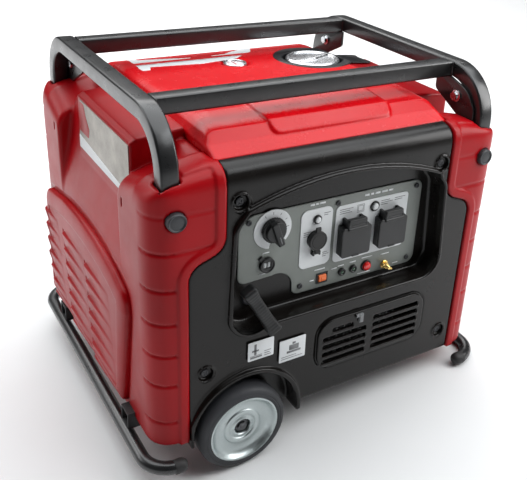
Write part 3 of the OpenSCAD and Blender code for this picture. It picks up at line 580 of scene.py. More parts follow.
def side_shell(x, y, z):
    v = side_volume(x, y, z)
    across = poly2(np.abs(x), z, fascia_outline)
    ay = np.abs(y)
    # the lip along the covers, and its return along the top cover
    lip = (1 - step01(across, 14.5, 17.5)) * step01(ay, 236, 242)
    ledge = (1 - step01(ay, 254, 257)) * step01(z, 470, 478) * (1 - step01(x, 262, 266))
    v = v - 2.5 * np.maximum(lip, ledge * step01(ay, 205, 212))
    corner = step01(ay, 226, 236) * step01(across, 15.5, 19)
    for height in GROOVES:
        depth = 1.2 if height == SHALLOW_GROOVE else 2.6
        v = v + depth * corner * np.maximum(0, 1 - np.abs(z - height) / 3.4)
    v = smax(v, -(v + 8), 1)
    v = smax(v, -smax(across - SEAM, TOP_REACH - ay, 1), 1.6)
    v = smax(v, -rect2(x, y, TOP_HALF + SEAM, TOP_REACH + 1), 1.6)
    # the hoop's legs come in from above, and the corner plugs from in front
    v = smax(v, -smax(rect2(x - 283.75, ay - 248.75, 14.9, 14.9, 2), 430 - z, 1), 1.2)
    plug = np.hypot(x - PLUG_X, z - PLUG_Z) - 14.4
    return smax(v, -smax(plug, 261 - ay, 1), 1.2)


shell = surface_net(side_shell, (200, -284, 33), (336, 284, 516), 2.9)
piece("shell_right", *shell, "side_red", nodes="side_shell_right")
piece("shell_left", *mirror(shell, x=-1), "side_red", nodes="side_shell_left")


# ---- louvred covers

GILL_PITCH = 29.5
GILLS = 7
GILL_TOP = 236.0
# Where each column of gills ends at the rear and at the front, at the height of its top gill
GILL_COLUMNS = ((238, 162), (124, 14), (0, -112))


def louver_cover(x, y, z):
    edge = poly2(y, z, louver_arch)
    # a wide band slopes up from the edge to the field of gills
    width = 20 + 10 * step01(z, 60, 250)
    band = np.clip(-edge / width, 0, 1)
    front = 323 + 8.5 * np.sqrt(1 - (1 - band) ** 2) - 1.6 * step01(-edge, width - 1.5, width + 2)
    lean = 0.11 * (z - GILL_TOP)
    lift = np.zeros_like(edge)
    notch = np.zeros_like(edge)
    for rear_end, front_end in GILL_COLUMNS:
        along = (y - lean - front_end) / (rear_end - front_end)
        down = (GILL_TOP - z) / GILL_PITCH
        part = down - np.floor(down)
        inside = step01(down, 0, 0.02) * (1 - step01(down, GILLS - 0.4, GILLS - 0.1))
        crown = step01(part, 0, 0.17) * (1 - 0.9 * step01(part, 0.12, 1.0))
        reach = np.clip(along, 0, 1) ** 0.7 * (1 - step01(y - lean, rear_end - 1.5, rear_end + 1.5))
        lift = np.maximum(lift, inside * crown * reach)
        near = np.maximum(0, 1 - np.abs(y - lean - rear_end - 3.5) / 6)
        notch = np.maximum(notch, inside * (near * np.maximum(0, 1 - np.abs(part - 0.2) / 0.3)))
    front = front + 4.6 * lift - 4 * notch * step01(-edge, 20, 26)
    return smax(smax(x - front, edge, 3), 316 - x, 1)


louver = surface_net(louver_cover, (313, -190, 46), (342, 249, 305), 2)
piece("louvre_right", *louver, "side_red", nodes="louver_cover_right")
piece("louvre_left", *mirror(louver, x=-1), "side_red", nodes="louver_cover_left")


# ---- front and rear covers

FRONT = -HALF_D
RECESS_FLOOR = FRONT + 34
ARCH_R, ARCH_TOP = 500, 447


def recess_edge(x):
    """The height of the recess's arched upper edge."""
    return ARCH_TOP - ARCH_R + math.sqrt(ARCH_R ** 2 - x * x)


recess_outline = ([(x, recess_edge(x)) for x in range(180, -171, -10)]
                  + arc(26 - 190, recess_edge(190) - 26, 26, 130, 180, 8) + arc(-160, 248, 36, 192, 310, 16)
                  + arc(170, 254, 34, 270, 360, 12) + arc(169, recess_edge(195) - 26, 26, 0, 50, 8))
wheel_arch = (-166.0, 38.0)
SCREWS = ((-184, 435), (187, 429), (-237, 157), (237, 84))
REAR_SCREWS = ((-187, 437), (187, 437), (-237, 157), (237, 157))
grille_outline = round_rect(-38, 88, 190, 188, 32)


def cover_base(x, y, z):
    """The front cover without its recess, drawn for -Y."""
    v = smax(hull(x, y, z), poly2(x, z, fascia_outline) + 0.3, 3)
    return smax(v, -(v + 7), 1)


def arch_parts(x, y, z, v):
    """Adds the wheel arch's flange and well, and cuts the space for the wheel."""
    r = np.hypot(x - wheel_arch[0], z - wheel_arch[1])
    flange = smax(smax(np.abs(r - 97) - 4.2, y + 244, 2), -280.5 - y, 3)
    flange = smax(flange, 26 - z, 3)
    v = smin(v, flange, 4)
    well = smax(smax(r - 96, y + 243, 2), -278 - y, 2)
    v = smin(v, smax(well, 30 - z, 2), 1)
    return smax(v, -smax(r - 92.8, y + 247, 3), 2)


def screw_wells(x, y, z, v, spots):
    for sx, sz in spots:
        r = np.hypot(x - sx, z - sz)
        v = smin(v, smax(r - 15, np.abs(y + 268) - 7, 2), 3)
        v = smax(v, -smax(r - 12, y + 266, 4), 3.5)
    return v


def fascia(x, y, z):
    v = cover_base(x, y, z)
    recess = poly2(x, z, recess_outline)
    # the recess: wall and floor behind it, and the bead round its mouth
    tub = smax(smax(recess - 5, y - (RECESS_FLOOR + 5), 3), -273 - y, 1)
    v = smin(v, tub, 1)
    bead = np.hypot(recess - 3, (y - FRONT + 0.6) * 0.9) - 4.2
    v = smin(v, bead, 2)
    v = smax(v, -smax(recess, y - RECESS_FLOOR, 7), 3)
    v = arch_parts(x, y, z, v)
    v = screw_wells(x, y, z, v, SCREWS)
    grille = poly2(x, z, grille_outline)
    v = v + 2.6 * np.maximum(0, 1 - np.abs(grille + 0.8) / 3.2)
    v = smax(v, -smax(grille + 9, np.abs(y - FRONT) - 14, 1), 1.5)
    return smax(v, poly2(x, z, fascia_outline) + 0.3, 1)


front = surface_net(fascia, (-268, -284, 20), (268, -232, 502), 2.7)
piece("fascia", *front, "fascia_black", nodes=("front_fascia", "recess_tub"))


def back(x, y, z):
    """The rear cover, drawn for -Y and then turned to +Y."""
    v = cover_base(x, y, z)
    v = arch_parts(x, y, z, v)
    v = screw_wells(x, y, z, v, REAR_SCREWS)
    v = smax(v, -(np.hypot(x - 200, z - 200) - 25), 2)
    # a raised panel with eight slots
    raised = rect2(x + 30, z - 220, 106, 86, 14)
    v = v - 2.0 * (1 - step01(raised, -3, 1)) * step01(-y, 262, 270)
    slots = rect2(x + 30, (z - 140) % 20 - 10, 90, 3.6, 3.4)
    slots = smax(slots, np.abs(z - 220) - 79, 1)
    return smax(v, -slots, 1.5)


rear = surface_net(back, (-268, -284, 20), (268, -236, 502), 3)
piece("rear_panel", *mirror(rear, y=-1), "fascia_black", nodes="rear_cover")


# The left and right end of each grille slot, and its height above the lowest one
SLOT_PITCH = 15
LEFT_SLOTS = [(-26, 62)] * 4 + [(-8, 34)]
GRILLE_SLOTS = [(a, b, SLOT_PITCH * i) for i, left in enumerate(LEFT_SLOTS) for a, b in (left, (76, 174))]


def grille(x, y, z):
    edge = poly2(x, z, grille_outline) + 2.2
    v = smax(edge, np.abs(y - FRONT - 2) - 3, 1.6)
    slots = np.full(np.broadcast(x, z).shape, 1e3)
    lips = slots
    # each slot's lower edge is a rounded blade that stands a little proud
    for a, b, up in GRILLE_SLOTS:
        along, half = x - (a + b) / 2, (b - a) / 2
        slots = np.minimum(slots, rect2(along, z - 104 - up, half, 4.2, 3.8))
        lips = np.minimum(lips, rect2(along, z - 99 - up, half, 1.6, 1.5))
    v = smin(v, np.hypot(np.maximum(lips, 0), y - FRONT + 0.6) - 1.4, 1.5)
    return smax(v, -slots, 1.5)


carve("grille", grille, (-40, -281, 86), (192, -268, 190), 1.25, "fascia_black", nodes="front_grille")

# ---- top cover

CAP_X, CAP_Y, CAP_TOP = 150.0, 77.0, 522.0
GAUGE_Y, GAUGE_TOP = 107, 516.5

top_profile = [(-TOP_REACH, 470), (-TOP_REACH, 492), (-216, 504), (-200, 518), (-135, 524), (180, 515),
               (205, 511), (TOP_REACH, 492), (TOP_REACH, 470)]
top_ends = [(211.5, 470), (211.5, 501), (204, 513), (194, 520), (174, 526)]
top_ends += mirrored(top_ends)
pad_outline = fillet([(-104, -219), (118, -219), (118, -60), (-104, -60)], [16, 16, 4, 4], 6)


def top_outer(x, y, z):
    """The top cover's outside, with the raised pad on its front half."""
    v = smax(poly2(y, z, top_profile), poly2(x, z, top_ends), 6)
    pad = smax(poly2(y, z, [(a, b + 3.2) for a, b in top_profile]) - 1.5, poly2(x, y, pad_outline), 4)
    return smin(v, pad, 2)


def top_cover(x, y, z):
    v = smax(top_outer(x, y, z), 60.6 - np.hypot(x - CAP_X, y - CAP_Y), 2)
    # a shallow hollow for the gauge, and its hole
    hollow = np.sqrt(x ** 2 + (y - GAUGE_Y) ** 2 + (z - 552) ** 2) - 46
    v = smax(v, -hollow, 3)
    v = smax(v, 22.6 - np.hypot(x, y - GAUGE_Y), 1)
    return smax(smax(v, -(v + 7), 1), 484 - z, 1)


top = surface_net(top_cover, (-215, -246, 480), (215, 246, 532), 2.5)
# the top cover is the same red plastic as the sides; top_red is its lighter copy, with painted light in its colour
piece("top_lid", *top, "top_red", nodes="top_cover")

# ---- handle frame and skids


def pipe(r, n=20):
    return [(r * math.cos(t), r * math.sin(t)) for t in np.linspace(0, 2 * math.pi, n, endpoint=False)]


def flat(x0, z0, x1, z1, r, n=5):
    """A rounded rectangle in x and z, as the outline of a prism along y."""
    return [(b, a) for a, b in round_rect(x0, z0, x1, z1, r, n)]


BAR, HOOP_X, BAR_TOP = 27.0, 297.0, 569.0
HALF_BAR = BAR / 2
bar_section = round_rect(-HALF_BAR, -HALF_BAR, HALF_BAR, HALF_BAR, 3.6, 4)
hoop_side = [(-248.5, 54)] + arc(-175, 482, 73.5, 180, 90, 14)
hoop_path = [(HOOP_X - HALF_BAR, a, b) for a, b in hoop_side + mirrored(hoop_side)]
hoop = sweep(bar_section, hoop_path, (1, 0, 0))
piece("hoop_bar_right", *hoop, "frame_paint", nodes="hoop_right", sharp=30)
piece("hoop_bar_left", *mirror(hoop, x=-1), "frame_paint", nodes="hoop_left", sharp=30)

IN_X = HOOP_X - BAR
CROSS_Y, CROSS_Z = 166.5, BAR_TOP - BAR
WELD = 1.6
cross_outline = round_rect(CROSS_Y - HALF_BAR, CROSS_Z, CROSS_Y + HALF_BAR, BAR_TOP, 3.6, 4)
weld_outline = round_rect(CROSS_Y - HALF_BAR - WELD, CROSS_Z - WELD, CROSS_Y + HALF_BAR + WELD,
                          BAR_TOP + 0.3, 5, 4)
gusset_outline = fillet([(147, CROSS_Z + 1), (182, CROSS_Z + 1), (226, 530), (247, 502), (247, 470),
                         (233, 470), (147, 514)], [1, 1, 14, 6, 3, 8, 6], 4)
for name, side in (("front", -1), ("rear", 1)):
    parts = [prism(cross_outline, 0, -IN_X, IN_X)]
    for x0, x1 in ((-IN_X - 0.2, -IN_X + 3), (IN_X - 3, IN_X + 0.2)):
        parts.append(prism(weld_outline, 0, x0, x1, 1.4))
    for x0, x1 in ((-IN_X, -IN_X + 5), (IN_X - 5, IN_X)):
        parts.append(prism(gusset_outline, 0, x0, x1, 0.9))
    piece("bar_across_" + name, *mirror(joined(*parts), y=side), "frame_paint", nodes="crossbar_" + name,
          sharp=35)


def hexagon(r):
    return [(r * math.cos(t), r * math.sin(t)) for t in np.arange(6) * math.pi / 3]


def hex_reach(turn, half_flats):
    """How far a hexagon reaches from its middle in each direction."""
    return half_flats / np.cos((turn + math.pi / 6) % (math.pi / 3) - math.pi / 6)


# a flange bolt's head inside each gusset, pointing inwards, and its nut in the leg
bolt_profile = [(0, -13.5), (5.4, -13.5), (6.6, -12.4), (7.4, -8.5), (8.6, -7.9), (10.2, -7.6), (10.4, -6.6),
                (10.2, -5), (0, -5)]
bolt_points, bolt_faces = lathe(bolt_profile, (0, 0, 0), 0, 32)
ring = np.hypot(bolt_points[:, 1], bolt_points[:, 2])
reach = hex_reach(np.arctan2(bolt_points[:, 2], bolt_points[:, 1]), 6.6)
flats = (ring > 4) & (bolt_points[:, 0] < -8.2)
bolt_points[:, 1:] *= np.where(flats, reach / np.maximum(ring, 1e-6), 1)[:, None]
bolt_points[:, 0] += IN_X
bolt_nut = prism(hexagon(7.4), 0, IN_X, IN_X + 6.5, 0.8)
bolts = []
for sx in (-1, 1):
    for sy in (-1, 1):
        for shape in ((bolt_points, bolt_faces), bolt_nut):
            points, faces = mirror(shape, x=sx)
            bolts.append((points + np.array([0, sy * 203.0, 515.0]), faces))
piece("bolt_heads", *joined(*bolts), "zinc_bolts", nodes="gusset_bolts", sharp=30)

skid_path = [(283, -287, 11)] + [(a, b, 11) for a, b in arc(288, -243, 44, 270, 360, 12)]
skid_path += [(x, -y, z) for x, y, z in reversed(skid_path)]
skid = sweep(pipe(11, 28), skid_path, (0, 0, 1))
piece("runner_right", *skid, "frame_paint", nodes="skid_right", sharp=50)
piece("runner_left", *mirror(skid, x=-1), "frame_paint", nodes="skid_left", sharp=50)
foot_profile = [(0, 274.2)]
foot_profile += [(11.2 * math.sin(t), 284 - 9.8 * math.cos(t)) for t in np.linspace(0.15, 1.45, 8)]
foot_profile += [(11.5, 285), (11.5, 296), (11.1, 297), (0, 297)]
feet = [mirror(lathe(foot_profile, (0, sy * 287.0, 11.0), 0, 36), x=sx) for sx in (-1, 1) for sy in (-1, 1)]
piece("runner_feet", *joined(*feet), "black_rubber", nodes="skid_caps", sharp=50)

# ---- wheels

AXLE = (WHEEL[0], 0.0, WHEEL[2])
tyre_profile = [(59.5, -289.6), (60.5, -291.2), (63, -292), (65.2, -291.7), (66, -291), (66.8, -291.4),
                (70, -290.6), (73, -288.4), (75.2, -284.8), (76, -280.5), (76, -263), (75.2, -258.5),
                (73, -254.6), (69, -252), (63, -251.2), (60, -252.2), (59.5, -254)]
rim_profile = [(59.8, -287.2), (60.4, -289.6), (59.6, -291.6), (57.6, -292.2), (55.8, -291), (54, -287.6),
               (50.5, -283.6), (46, -281.6), (41, -280.9), (33.5, -281), (32.4, -281.6), (31.6, -283),
               (30.4, -283.7), (24.4, -283.8), (23.2, -283.2), (22.2, -281.6), (20.8, -281.2), (18.6, -282),
               (17, -283.6), (15.2, -283.8), (14, -282.8), (13.4, -280), (13.2, -272), (9, -271),
               (8.2, -268), (8.2, -251.5), (14, -251.5), (14, -264), (55, -266), (59.8, -270)]
nut_profile = [(0, -284.6), (4.2, -284.6), (5, -283.8), (7.6, -283.2), (8, -279.6), (11.4, -278.6),
               (11.6, -276), (0, -276)]
tyre, rim = lathe(tyre_profile, AXLE, 1, 128), lathe(rim_profile, AXLE, 1, 128)
for name, side in (("front", 1), ("rear", -1)):
    piece("tyre_" + name, *mirror(tyre, y=side), "tyre_rubber", "wheel_" + name, "tyre_" + name, sharp=40)
    piece("wheel_disc_" + name, *mirror(rim, y=side), "zinc_rim", "wheel_" + name, "rim_" + name, sharp=40)
points, faces = lathe(nut_profile, (0, 0, 0), 1, 36)
ring = np.hypot(points[:, 0], points[:, 2])
reach = hex_reach(np.arctan2(points[:, 0], points[:, 2]), 7.2) / np.maximum(ring, 1e-6)
flats = (points[:, 1] < -279) & (ring > 4)
points[:, [0, 2]] *= np.where(flats, reach * np.minimum(1, ring / 7.6), 1)[:, None]
nuts = [mirror((points + np.array(AXLE), faces), y=side) for side in (1, -1)]
piece("axle_nuts", *joined(*nuts), "hub_dark", nodes="hub_nuts", sharp=30)

# ---- plugs and screws

plug_profile = [(0, -277.2), (8.6, -277.3), (9.6, -276.9), (10.4, -276.9), (11.2, -278.2), (12.6, -278.6),
                (13.7, -277.6), (14, -276), (14, -263), (0, -263)]
plugs = [mirror(lathe(plug_profile, (sx * PLUG_X, 0, PLUG_Z), 1, 48), y=side)
         for sx in (-1, 1) for side in (1, -1)]
piece("plug_caps", *joined(*plugs), "plug_black", nodes="corner_plugs", sharp=50)

PLATE_FACE, PLATE_BACK = FRONT + 31, FRONT + 34
PLATE_SCREWS = ((-155, 383), (4, 383), (163, 383), (-59, 248), (160, 246))


def phillips(x, y, z, cx, cz, r, face):
    """A pan head with a cross recess, its face towards -Y."""
    dx, dz = x - cx, z - cz
    ring = np.hypot(dx, dz)
    dome = np.sqrt(ring ** 2 + (y - face - 2.6 * r) ** 2) - 2.6 * r
    head = smax(dome, smax(ring - r, y - face - 3, 0.6), 0.8)
    u, w = (dx + dz) * 0.7071, (dx - dz) * 0.7071
    cross = np.minimum(rect2(u, w, 0.62 * r, 0.13 * r), rect2(u, w, 0.13 * r, 0.62 * r))
    return smax(head, -smax(cross, y - face - 1.6, 0.2), 0.3)


screw_parts = []
for spots, side, r, face in ((SCREWS, 1, 6.4, -270.5), (REAR_SCREWS, -1, 6.4, -270.5),
                             (PLATE_SCREWS, 1, 4.6, PLATE_FACE - 3.2)):
    for sx, sz in spots:
        screw = surface_net(lambda x, y, z: phillips(x, y, z, sx, sz, r, face),
                            (sx - r - 1, face - 1, sz - r - 1), (sx + r + 1, face + 4, sz + r + 1), 0.55)
        screw_parts.append(mirror(screw, y=side))
piece("screw_heads", *joined(*screw_parts), "plug_black", nodes="panel_screws")

# ---- control plate

# Where each control sits on the plate, in x and z
KNOB, AUX = (-114, 364), (-122, 304)
DC, DC_TRIP = (-36.0, 329.5), (-34.5, 363.5)
AC_LEFT, AC_RIGHT, AC_TRIP = (33, 317), (107, 317), (77, 363)
LAMPS = ((22, 253), (45, 253))
ROCKER, BUTTON, STUD = (-17, 252), (72, 252), (111.5, 244)
# The round holes: place and radius. The first ones also go through the white panels.
PANEL_HOLES = ((AC_LEFT, 22.3), (AC_RIGHT, 22.3), (DC, 14.3), (DC_TRIP, 5.3), (AC_TRIP, 6.3))
PLATE_HOLES = PANEL_HOLES + ((KNOB, 4.3), (AUX, 11.8), (LAMPS[0], 5.3), (LAMPS[1], 5.3), (BUTTON, 7.8),
                             (STUD, 3.3))
plate_outline = (arc(160, 378, 16, 90, 0, 8) + arc(160, 250, 16, 0, -90, 8) + arc(-60, 250, 16, 270, 210, 5)
                 + arc(-104, 252, 30, 15, 105, 14) + arc(-158, 293, 14, 270, 180, 8)
                 + arc(-140, 362, 32, 180, 100, 12))
knob_scale = arc(*KNOB, 33, -45, 260, 40) + arc(*KNOB, 20, 262, 313, 8)
# The face of the white panels, which stand a little proud of the plate
INSERT = PLATE_FACE - 1.2


def pierced(x, z, v, holes, soft):
    for (cx, cz), r in holes:
        v = smax(v, r - np.hypot(x - cx, z - cz), soft)
    return v


def control_plate(x, y, z):
    v = smax(poly2(x, z, plate_outline), np.abs(y - (PLATE_FACE + PLATE_BACK) / 2) - 1.5, 1.2)
    v = pierced(x, z, v, PLATE_HOLES, 0.6)
    return smax(v, -rect2(x - ROCKER[0], z - ROCKER[1], 9.3, 8.3, 1), 0.6)


def white_panels(x, y, z):
    v = np.minimum(rect2(x + 34.5, z - 330, 29.5, 52, 12), rect2(x - 74, z - 326, 73, 51, 8))
    v = np.minimum(v, poly2(x, z, knob_scale))
    v = smax(v, np.abs(y - PLATE_FACE + 0.55) - 0.65, 0.4)
    return pierced(x, z, v, PANEL_HOLES, 0.3)


carve("plate", control_plate, (-176, -246.5, 228), (180, -239.5, 398), 1.1, "plate_grey",
      nodes="control_plate")
carve("white_panels", white_panels, (-149, -246.6, 273), (149, -242.6, 399), 0.8, "insert_white",
      nodes="panel_inserts")


def mark(x0, z0, x1, z1, face):
    """One fine printed mark: a tick, a dash or a frame's side. None of them is lettering."""
    return prism(flat(x0, z0, x1, z1, 0.3, 2), 1, face - 0.12, face + 0.05)


def set_at(shape, degrees, centre):
    """A shape drawn about x = z = 0, turned clockwise as seen from the front, and moved to a control."""
    points, faces = shape
    points = points.copy()
    across, up = spun(points[:, 0], points[:, 2], -degrees)
    points[:, 0], points[:, 2] = across + centre[0], up + centre[1]
    return points, faces


marks = [set_at(mark(-0.5, 24.5, 0.5, 28.5, INSERT), angle, KNOB) for angle in (-30, 0, 30, 60, 90)]
# left end, foot and length of each dash
for x0, z0, w in ((-58, 343, 14), (-58, 339.5, 10), (-58, 336, 12), (-22, 371, 12), (-22, 367.5, 8),
                  (-20, 300, 9), (-20, 296.5, 12), (-20, 293, 7), (8, 369, 26), (8, 365.5, 20), (8, 362, 24),
                  (90, 369, 18), (90, 365.5, 24), (90, 362, 14), (118, 369, 22), (118, 365.5, 16)):
    marks.append(mark(x0, z0, x0 + w, z0 + 1.1, INSERT))
# two frames, one in the other
for x0, z0, x1, z1 in ((42, 358, 56, 372), (44, 360, 54, 370)):
    marks += [mark(x0, z0, x1, z0 + 0.7, INSERT), mark(x0, z1 - 0.7, x1, z1, INSERT),
              mark(x0, z0 + 0.6, x0 + 0.7, z1 - 0.6, INSERT), mark(x1 - 0.7, z0 + 0.6, x1, z1 - 0.6, INSERT)]
piece("printed_marks", *joined(*marks), "print_grey")
# left end, foot, length and height of each dash
dashes = [mark(x0, z0, x0 + w, z0 + h, PLATE_FACE) for x0, z0, w, h in (
    (-48, 388, 8, 3), (-38, 388, 5, 3), (-31, 388, 11, 3), (56, 384, 9, 3.4), (68, 384, 6, 3.4),
    (77, 384, 10, 3.4), (90, 384, 12, 3.4), (104, 384, 9, 3.4), (-130, 324, 12, 2), (-134, 288, 12, 2),
    (-32, 268, 20, 2), (-40, 250, 8, 2), (0, 262, 12, 1.6), (14, 264, 12, 1.8), (38, 265, 12, 1.8),
    (62, 267, 22, 1.8), (56, 238, 26, 1.8), (102, 264, 18, 1.8), (130, 240, 12, 1.6))]
piece("plate_marks", *joined(*dashes), "insert_white")

# ---- engine switch, 5 volt outlet, breakers, lamps and buttons

KNOB_TURN = -20


def knob(x, y, z):
    dx, dz = x - KNOB[0], z - KNOB[1]
    ring, turn = np.hypot(dx, dz), np.arctan2(dx, dz)
    flute = 0.45 * np.cos(turn * 30) * step01(ring, 15, 19)
    base = smax(ring - 20 + flute, np.abs(y - INSERT + 4.2) - 3.8, 1.2)
    hat = smax(ring - 17, np.abs(y - INSERT + 7) - 6.4, 2.5)
    u, w = spun(dx, dz, KNOB_TURN)
    handle = box3(u, y - INSERT + 10.6, w + 2.5, 5.6, 8, 21.5, 2.6)
    return smin(smin(base, hat, 1), handle, 1.5)


carve("knob", knob, (-140, -265.5, 336), (-92, -244.6, 388), 0.7, "switch_black", "engine_switch",
      "engine_knob")
line = prism(flat(-0.9, -19, 0.9, -6, 0.8, 3), 1, INSERT - 19, INSERT - 18.4)
piece("knob_line", *set_at(line, KNOB_TURN, KNOB), "print_grey", "engine_switch")


def aux(x, y, z):
    dx, dz = x - AUX[0], z - AUX[1]
    ring = np.hypot(dx, dz)
    body = smax(ring - 13, np.abs(y - PLATE_FACE + 1.5) - 3.5, 1.2)
    body = smax(body, -smax(ring - 10.4, y - PLATE_FACE + 3.4, 0.4), 0.8)
    u, w = spun(dx, dz, -40)
    tab = box3(u, y - PLATE_FACE + 1.6, w - 15, 4.2, 1.6, 5, 1.2)
    v = smin(body, tab, 1)
    for cx in (-3.4, 3.4):
        v = smax(v, -rect2(dx - cx, dz, 3.1, 5.2, 0.6), 0.4)
    return v


carve("aux_outlet", aux, (-138, -251, 288), (-106, -240.5, 326), 0.6, "switch_black", nodes="aux_socket")
ports = []
for cx in (-125.4, -118.6):
    well = flat(cx - 2.9, 299.1, cx + 2.9, 308.9, 0.5, 2)
    tongue = flat(cx - 0.6, 301, cx + 0.6, 307, 0.3, 2)
    ports += [prism(well, 1, PLATE_FACE - 1.4, PLATE_FACE + 2, 0.3),
              prism(tongue, 1, PLATE_FACE - 2.2, PLATE_FACE - 1, 0.2)]
piece("aux_ports", *joined(*ports), "insert_white")

DC_X, DC_Z = DC
DC_FACE = INSERT - 4


def dc_cap(x, y, z):
    dx, dz = x - DC_X, z - DC_Z
    ring = np.hypot(dx, dz)
    body = smax(ring - 16.4, np.abs(y - DC_FACE + 3.7) - 3.3, 1.6)
    body = smax(body, -(np.abs(ring - 12.5) + np.abs(y - DC_FACE + 7.2) - 1.1), 0.5)
    tab = box3(dx, y - DC_FACE + 4, dz - 18, 4.6, 2, 5.4, 1.4)
    strap = box3(dx, y - DC_FACE + 2.4, dz + 18.6, 3.7, 1.8, 6, 1)
    hinge = smax(np.hypot(y - DC_FACE + 1.5, z - (DC_Z - 22.5)) - 2.5, np.abs(dx) - 3.7, 0.5)
    return smin(smin(smin(body, tab, 1.5), strap, 1.5), hinge, 1)


carve("dc_cover", dc_cap, (DC_X - 19, DC_FACE - 9, DC_Z - 28), (DC_X + 19, DC_FACE + 2, DC_Z + 26), 0.7,
      "black_rubber", "dc_flap", "dc_cap")


def turned_at(profile, centre, face, n):
    """A lathe piece at one of the controls. face is where its profile's distances start."""
    return lathe(profile, (centre[0], face, centre[1]), 1, n)


lamp_ring = [(4, -4.4), (6, -4.4), (6.9, -3.4), (6.9, 0), (0, 0), (0, -1), (4, -1.2)]
lens = [(0, -4.4)] + [(3.6 * math.sin(a), -2.8 - 1.6 * math.cos(a)) for a in np.linspace(0.3, 1.57, 5)]
lens += [(3.6, 0.5), (0, 0.5)]
dc_ring = [(5.4, -5.2), (6.7, -5.2), (7.5, -4.4), (7.5, 0), (5.4, 0)]
button_ring = [(7.7, -2.4), (9.4, -2.4), (10.2, -1.6), (10.2, 0), (7.7, 0)]
ac_ring = [(6.2, -2), (8.4, -2.2), (9.2, -1.4), (9.2, 0), (6.2, 0)]
bezels = [turned_at(dc_ring, DC_TRIP, INSERT + 2, 36),
          *(turned_at(lamp_ring, lamp, PLATE_FACE, 36) for lamp in LAMPS),
          turned_at(button_ring, BUTTON, PLATE_FACE, 48), turned_at(ac_ring, AC_TRIP, INSERT, 48)]
piece("bezels", *joined(*bezels), "switch_black")
lamps = [turned_at(lens, lamp, PLATE_FACE, 28) for lamp in LAMPS]
piece("lamp_lenses", *joined(*lamps), "lamp_lens", nodes="pilot_lamps", sharp=60)


def dome_profile(r, front_at, back_at, rise):
    profile = [(0, front_at)]
    for a in np.linspace(0.2, 1.3, 6):
        profile.append((r * math.sin(a), front_at + rise * (1 - math.cos(a))))
    return profile + [(r, front_at + rise), (r, back_at), (0, back_at)]


piece("button_cap", *turned_at(dome_profile(7.5, PLATE_FACE - 7.4, FRONT + 42, 2.6), BUTTON, 0, 40),
      "button_red", "button", "push_button", sharp=50)
piece("ac_trip_cap", *turned_at(dome_profile(6, INSERT - 5.6, FRONT + 40, 2.8), AC_TRIP, 0, 36),
      "insert_white", "ac_trip", "ac_breaker", sharp=50)
piece("dc_trip_cap", *turned_at(dome_profile(5, INSERT - 5.6, FRONT + 40, 1.4), DC_TRIP, 0, 32),
      "insert_white", "dc_trip", "dc_breaker", sharp=50)


def rocker(x, y, z):
    dx, dz = x - ROCKER[0], z - ROCKER[1]
    bow = np.sqrt((y - PLATE_FACE - 6) ** 2 + dz ** 2) - 10.4
    v = smax(smax(bow, np.abs(dx) - 7.2, 1), np.abs(dz) - 6.3, 0.8)
    v = smax(v, y - PLATE_FACE - 5.5, 0.5)
    groove = np.abs(dx + 3.4) - 0.5 + 0.6 * np.maximum(0, y - PLATE_FACE + 3.8)
    return smax(v, -groove, 0.3)


carve("rocker", rocker, (-26, -250, 244), (-8, -237.5, 260), 0.5, "rocker_orange", "eco_switch",
      "eco_rocker")
rocker_sides = [prism(flat(*side, 0.6, 2), 1, PLATE_FACE - 1.6, PLATE_FACE, 0.4) for side in (
    (-28, 242.5, -6, 244.6), (-28, 259.4, -6, 261.5), (-28, 244.2, -25.6, 259.8), (-8.4, 244.2, -6, 259.8))]
piece("rocker_frame", *joined(*rocker_sides), "switch_black", sharp=40)


def wing_nut(x, y, z):
    dx, dz = x - STUD[0], z - STUD[1]
    hub = smax(np.hypot(dx, dz) - 5.4 + 0.16 * (y - PLATE_FACE + 9), np.abs(y - PLATE_FACE + 5.8) - 3.3, 1)
    u, w = spun(dx, dz, 35)
    lift = PLATE_FACE - 7.2 - 0.12 * np.abs(u)
    wings = smax(np.hypot(np.abs(u) - 9.5, (y - lift) * 1.3) - 5, np.abs(w) - 1.2 - 0.05 * np.abs(u), 0.8)
    return smax(smin(hub, wings, 1.5), -(np.hypot(dx, dz) - 3.1), 0.3)


carve("wing", wing_nut, (94, -257, 226), (129, -245.6, 262), 0.55, "brass", "wing_nut", "earth_nut")
stud = [(0, PLATE_FACE - 17)]
for k in range(12):
    root = PLATE_FACE - 16.6 + 0.9 * k
    stud += [(2.5, root), (2.95, root + 0.45)]
stud += [(2.9, PLATE_FACE - 2.4), (7.4, PLATE_FACE - 2.2), (8, PLATE_FACE - 1.6), (8, PLATE_FACE),
         (3, PLATE_FACE), (3, FRONT + 42), (0, FRONT + 42)]
piece("stud", *turned_at(stud, STUD, 0, 32), "brass", nodes="earth_stud", sharp=30)

# ---- mains lids

AC_FACE = INSERT - 12
LID_Z = 316.75


def lid(x, y, z):
    """A sprung lid, drawn about x = 0: flat face, chamfered edges and a stepped hinge tab."""
    plate = box3(x, y - AC_FACE + 3.2, z - LID_Z, 29, 2.8, 26.75, 2)
    plate = smax(plate, np.abs(x) + np.abs(z - LID_Z) - 51.5, 1)
    tab = box3(x, y - AC_FACE + 2.4, z - 348, 18.9 - 0.12 * np.maximum(0, z - 346), 4.6, 9.2, 2)
    hinge = box3(x, y - AC_FACE + 5.5, z - 341, 18.9, 3, 2.2, 1.5)
    v = smin(smin(plate, tab, 1), hinge, 1)
    v = smax(v, -box3(x, y - AC_FACE + 7.4, z - 347.4, 15, 1.2, 1.4, 0.5), 0.5)
    return smin(v, box3(x, y - AC_FACE + 5, z - 291.5, 7, 1.8, 1.8, 1), 1)


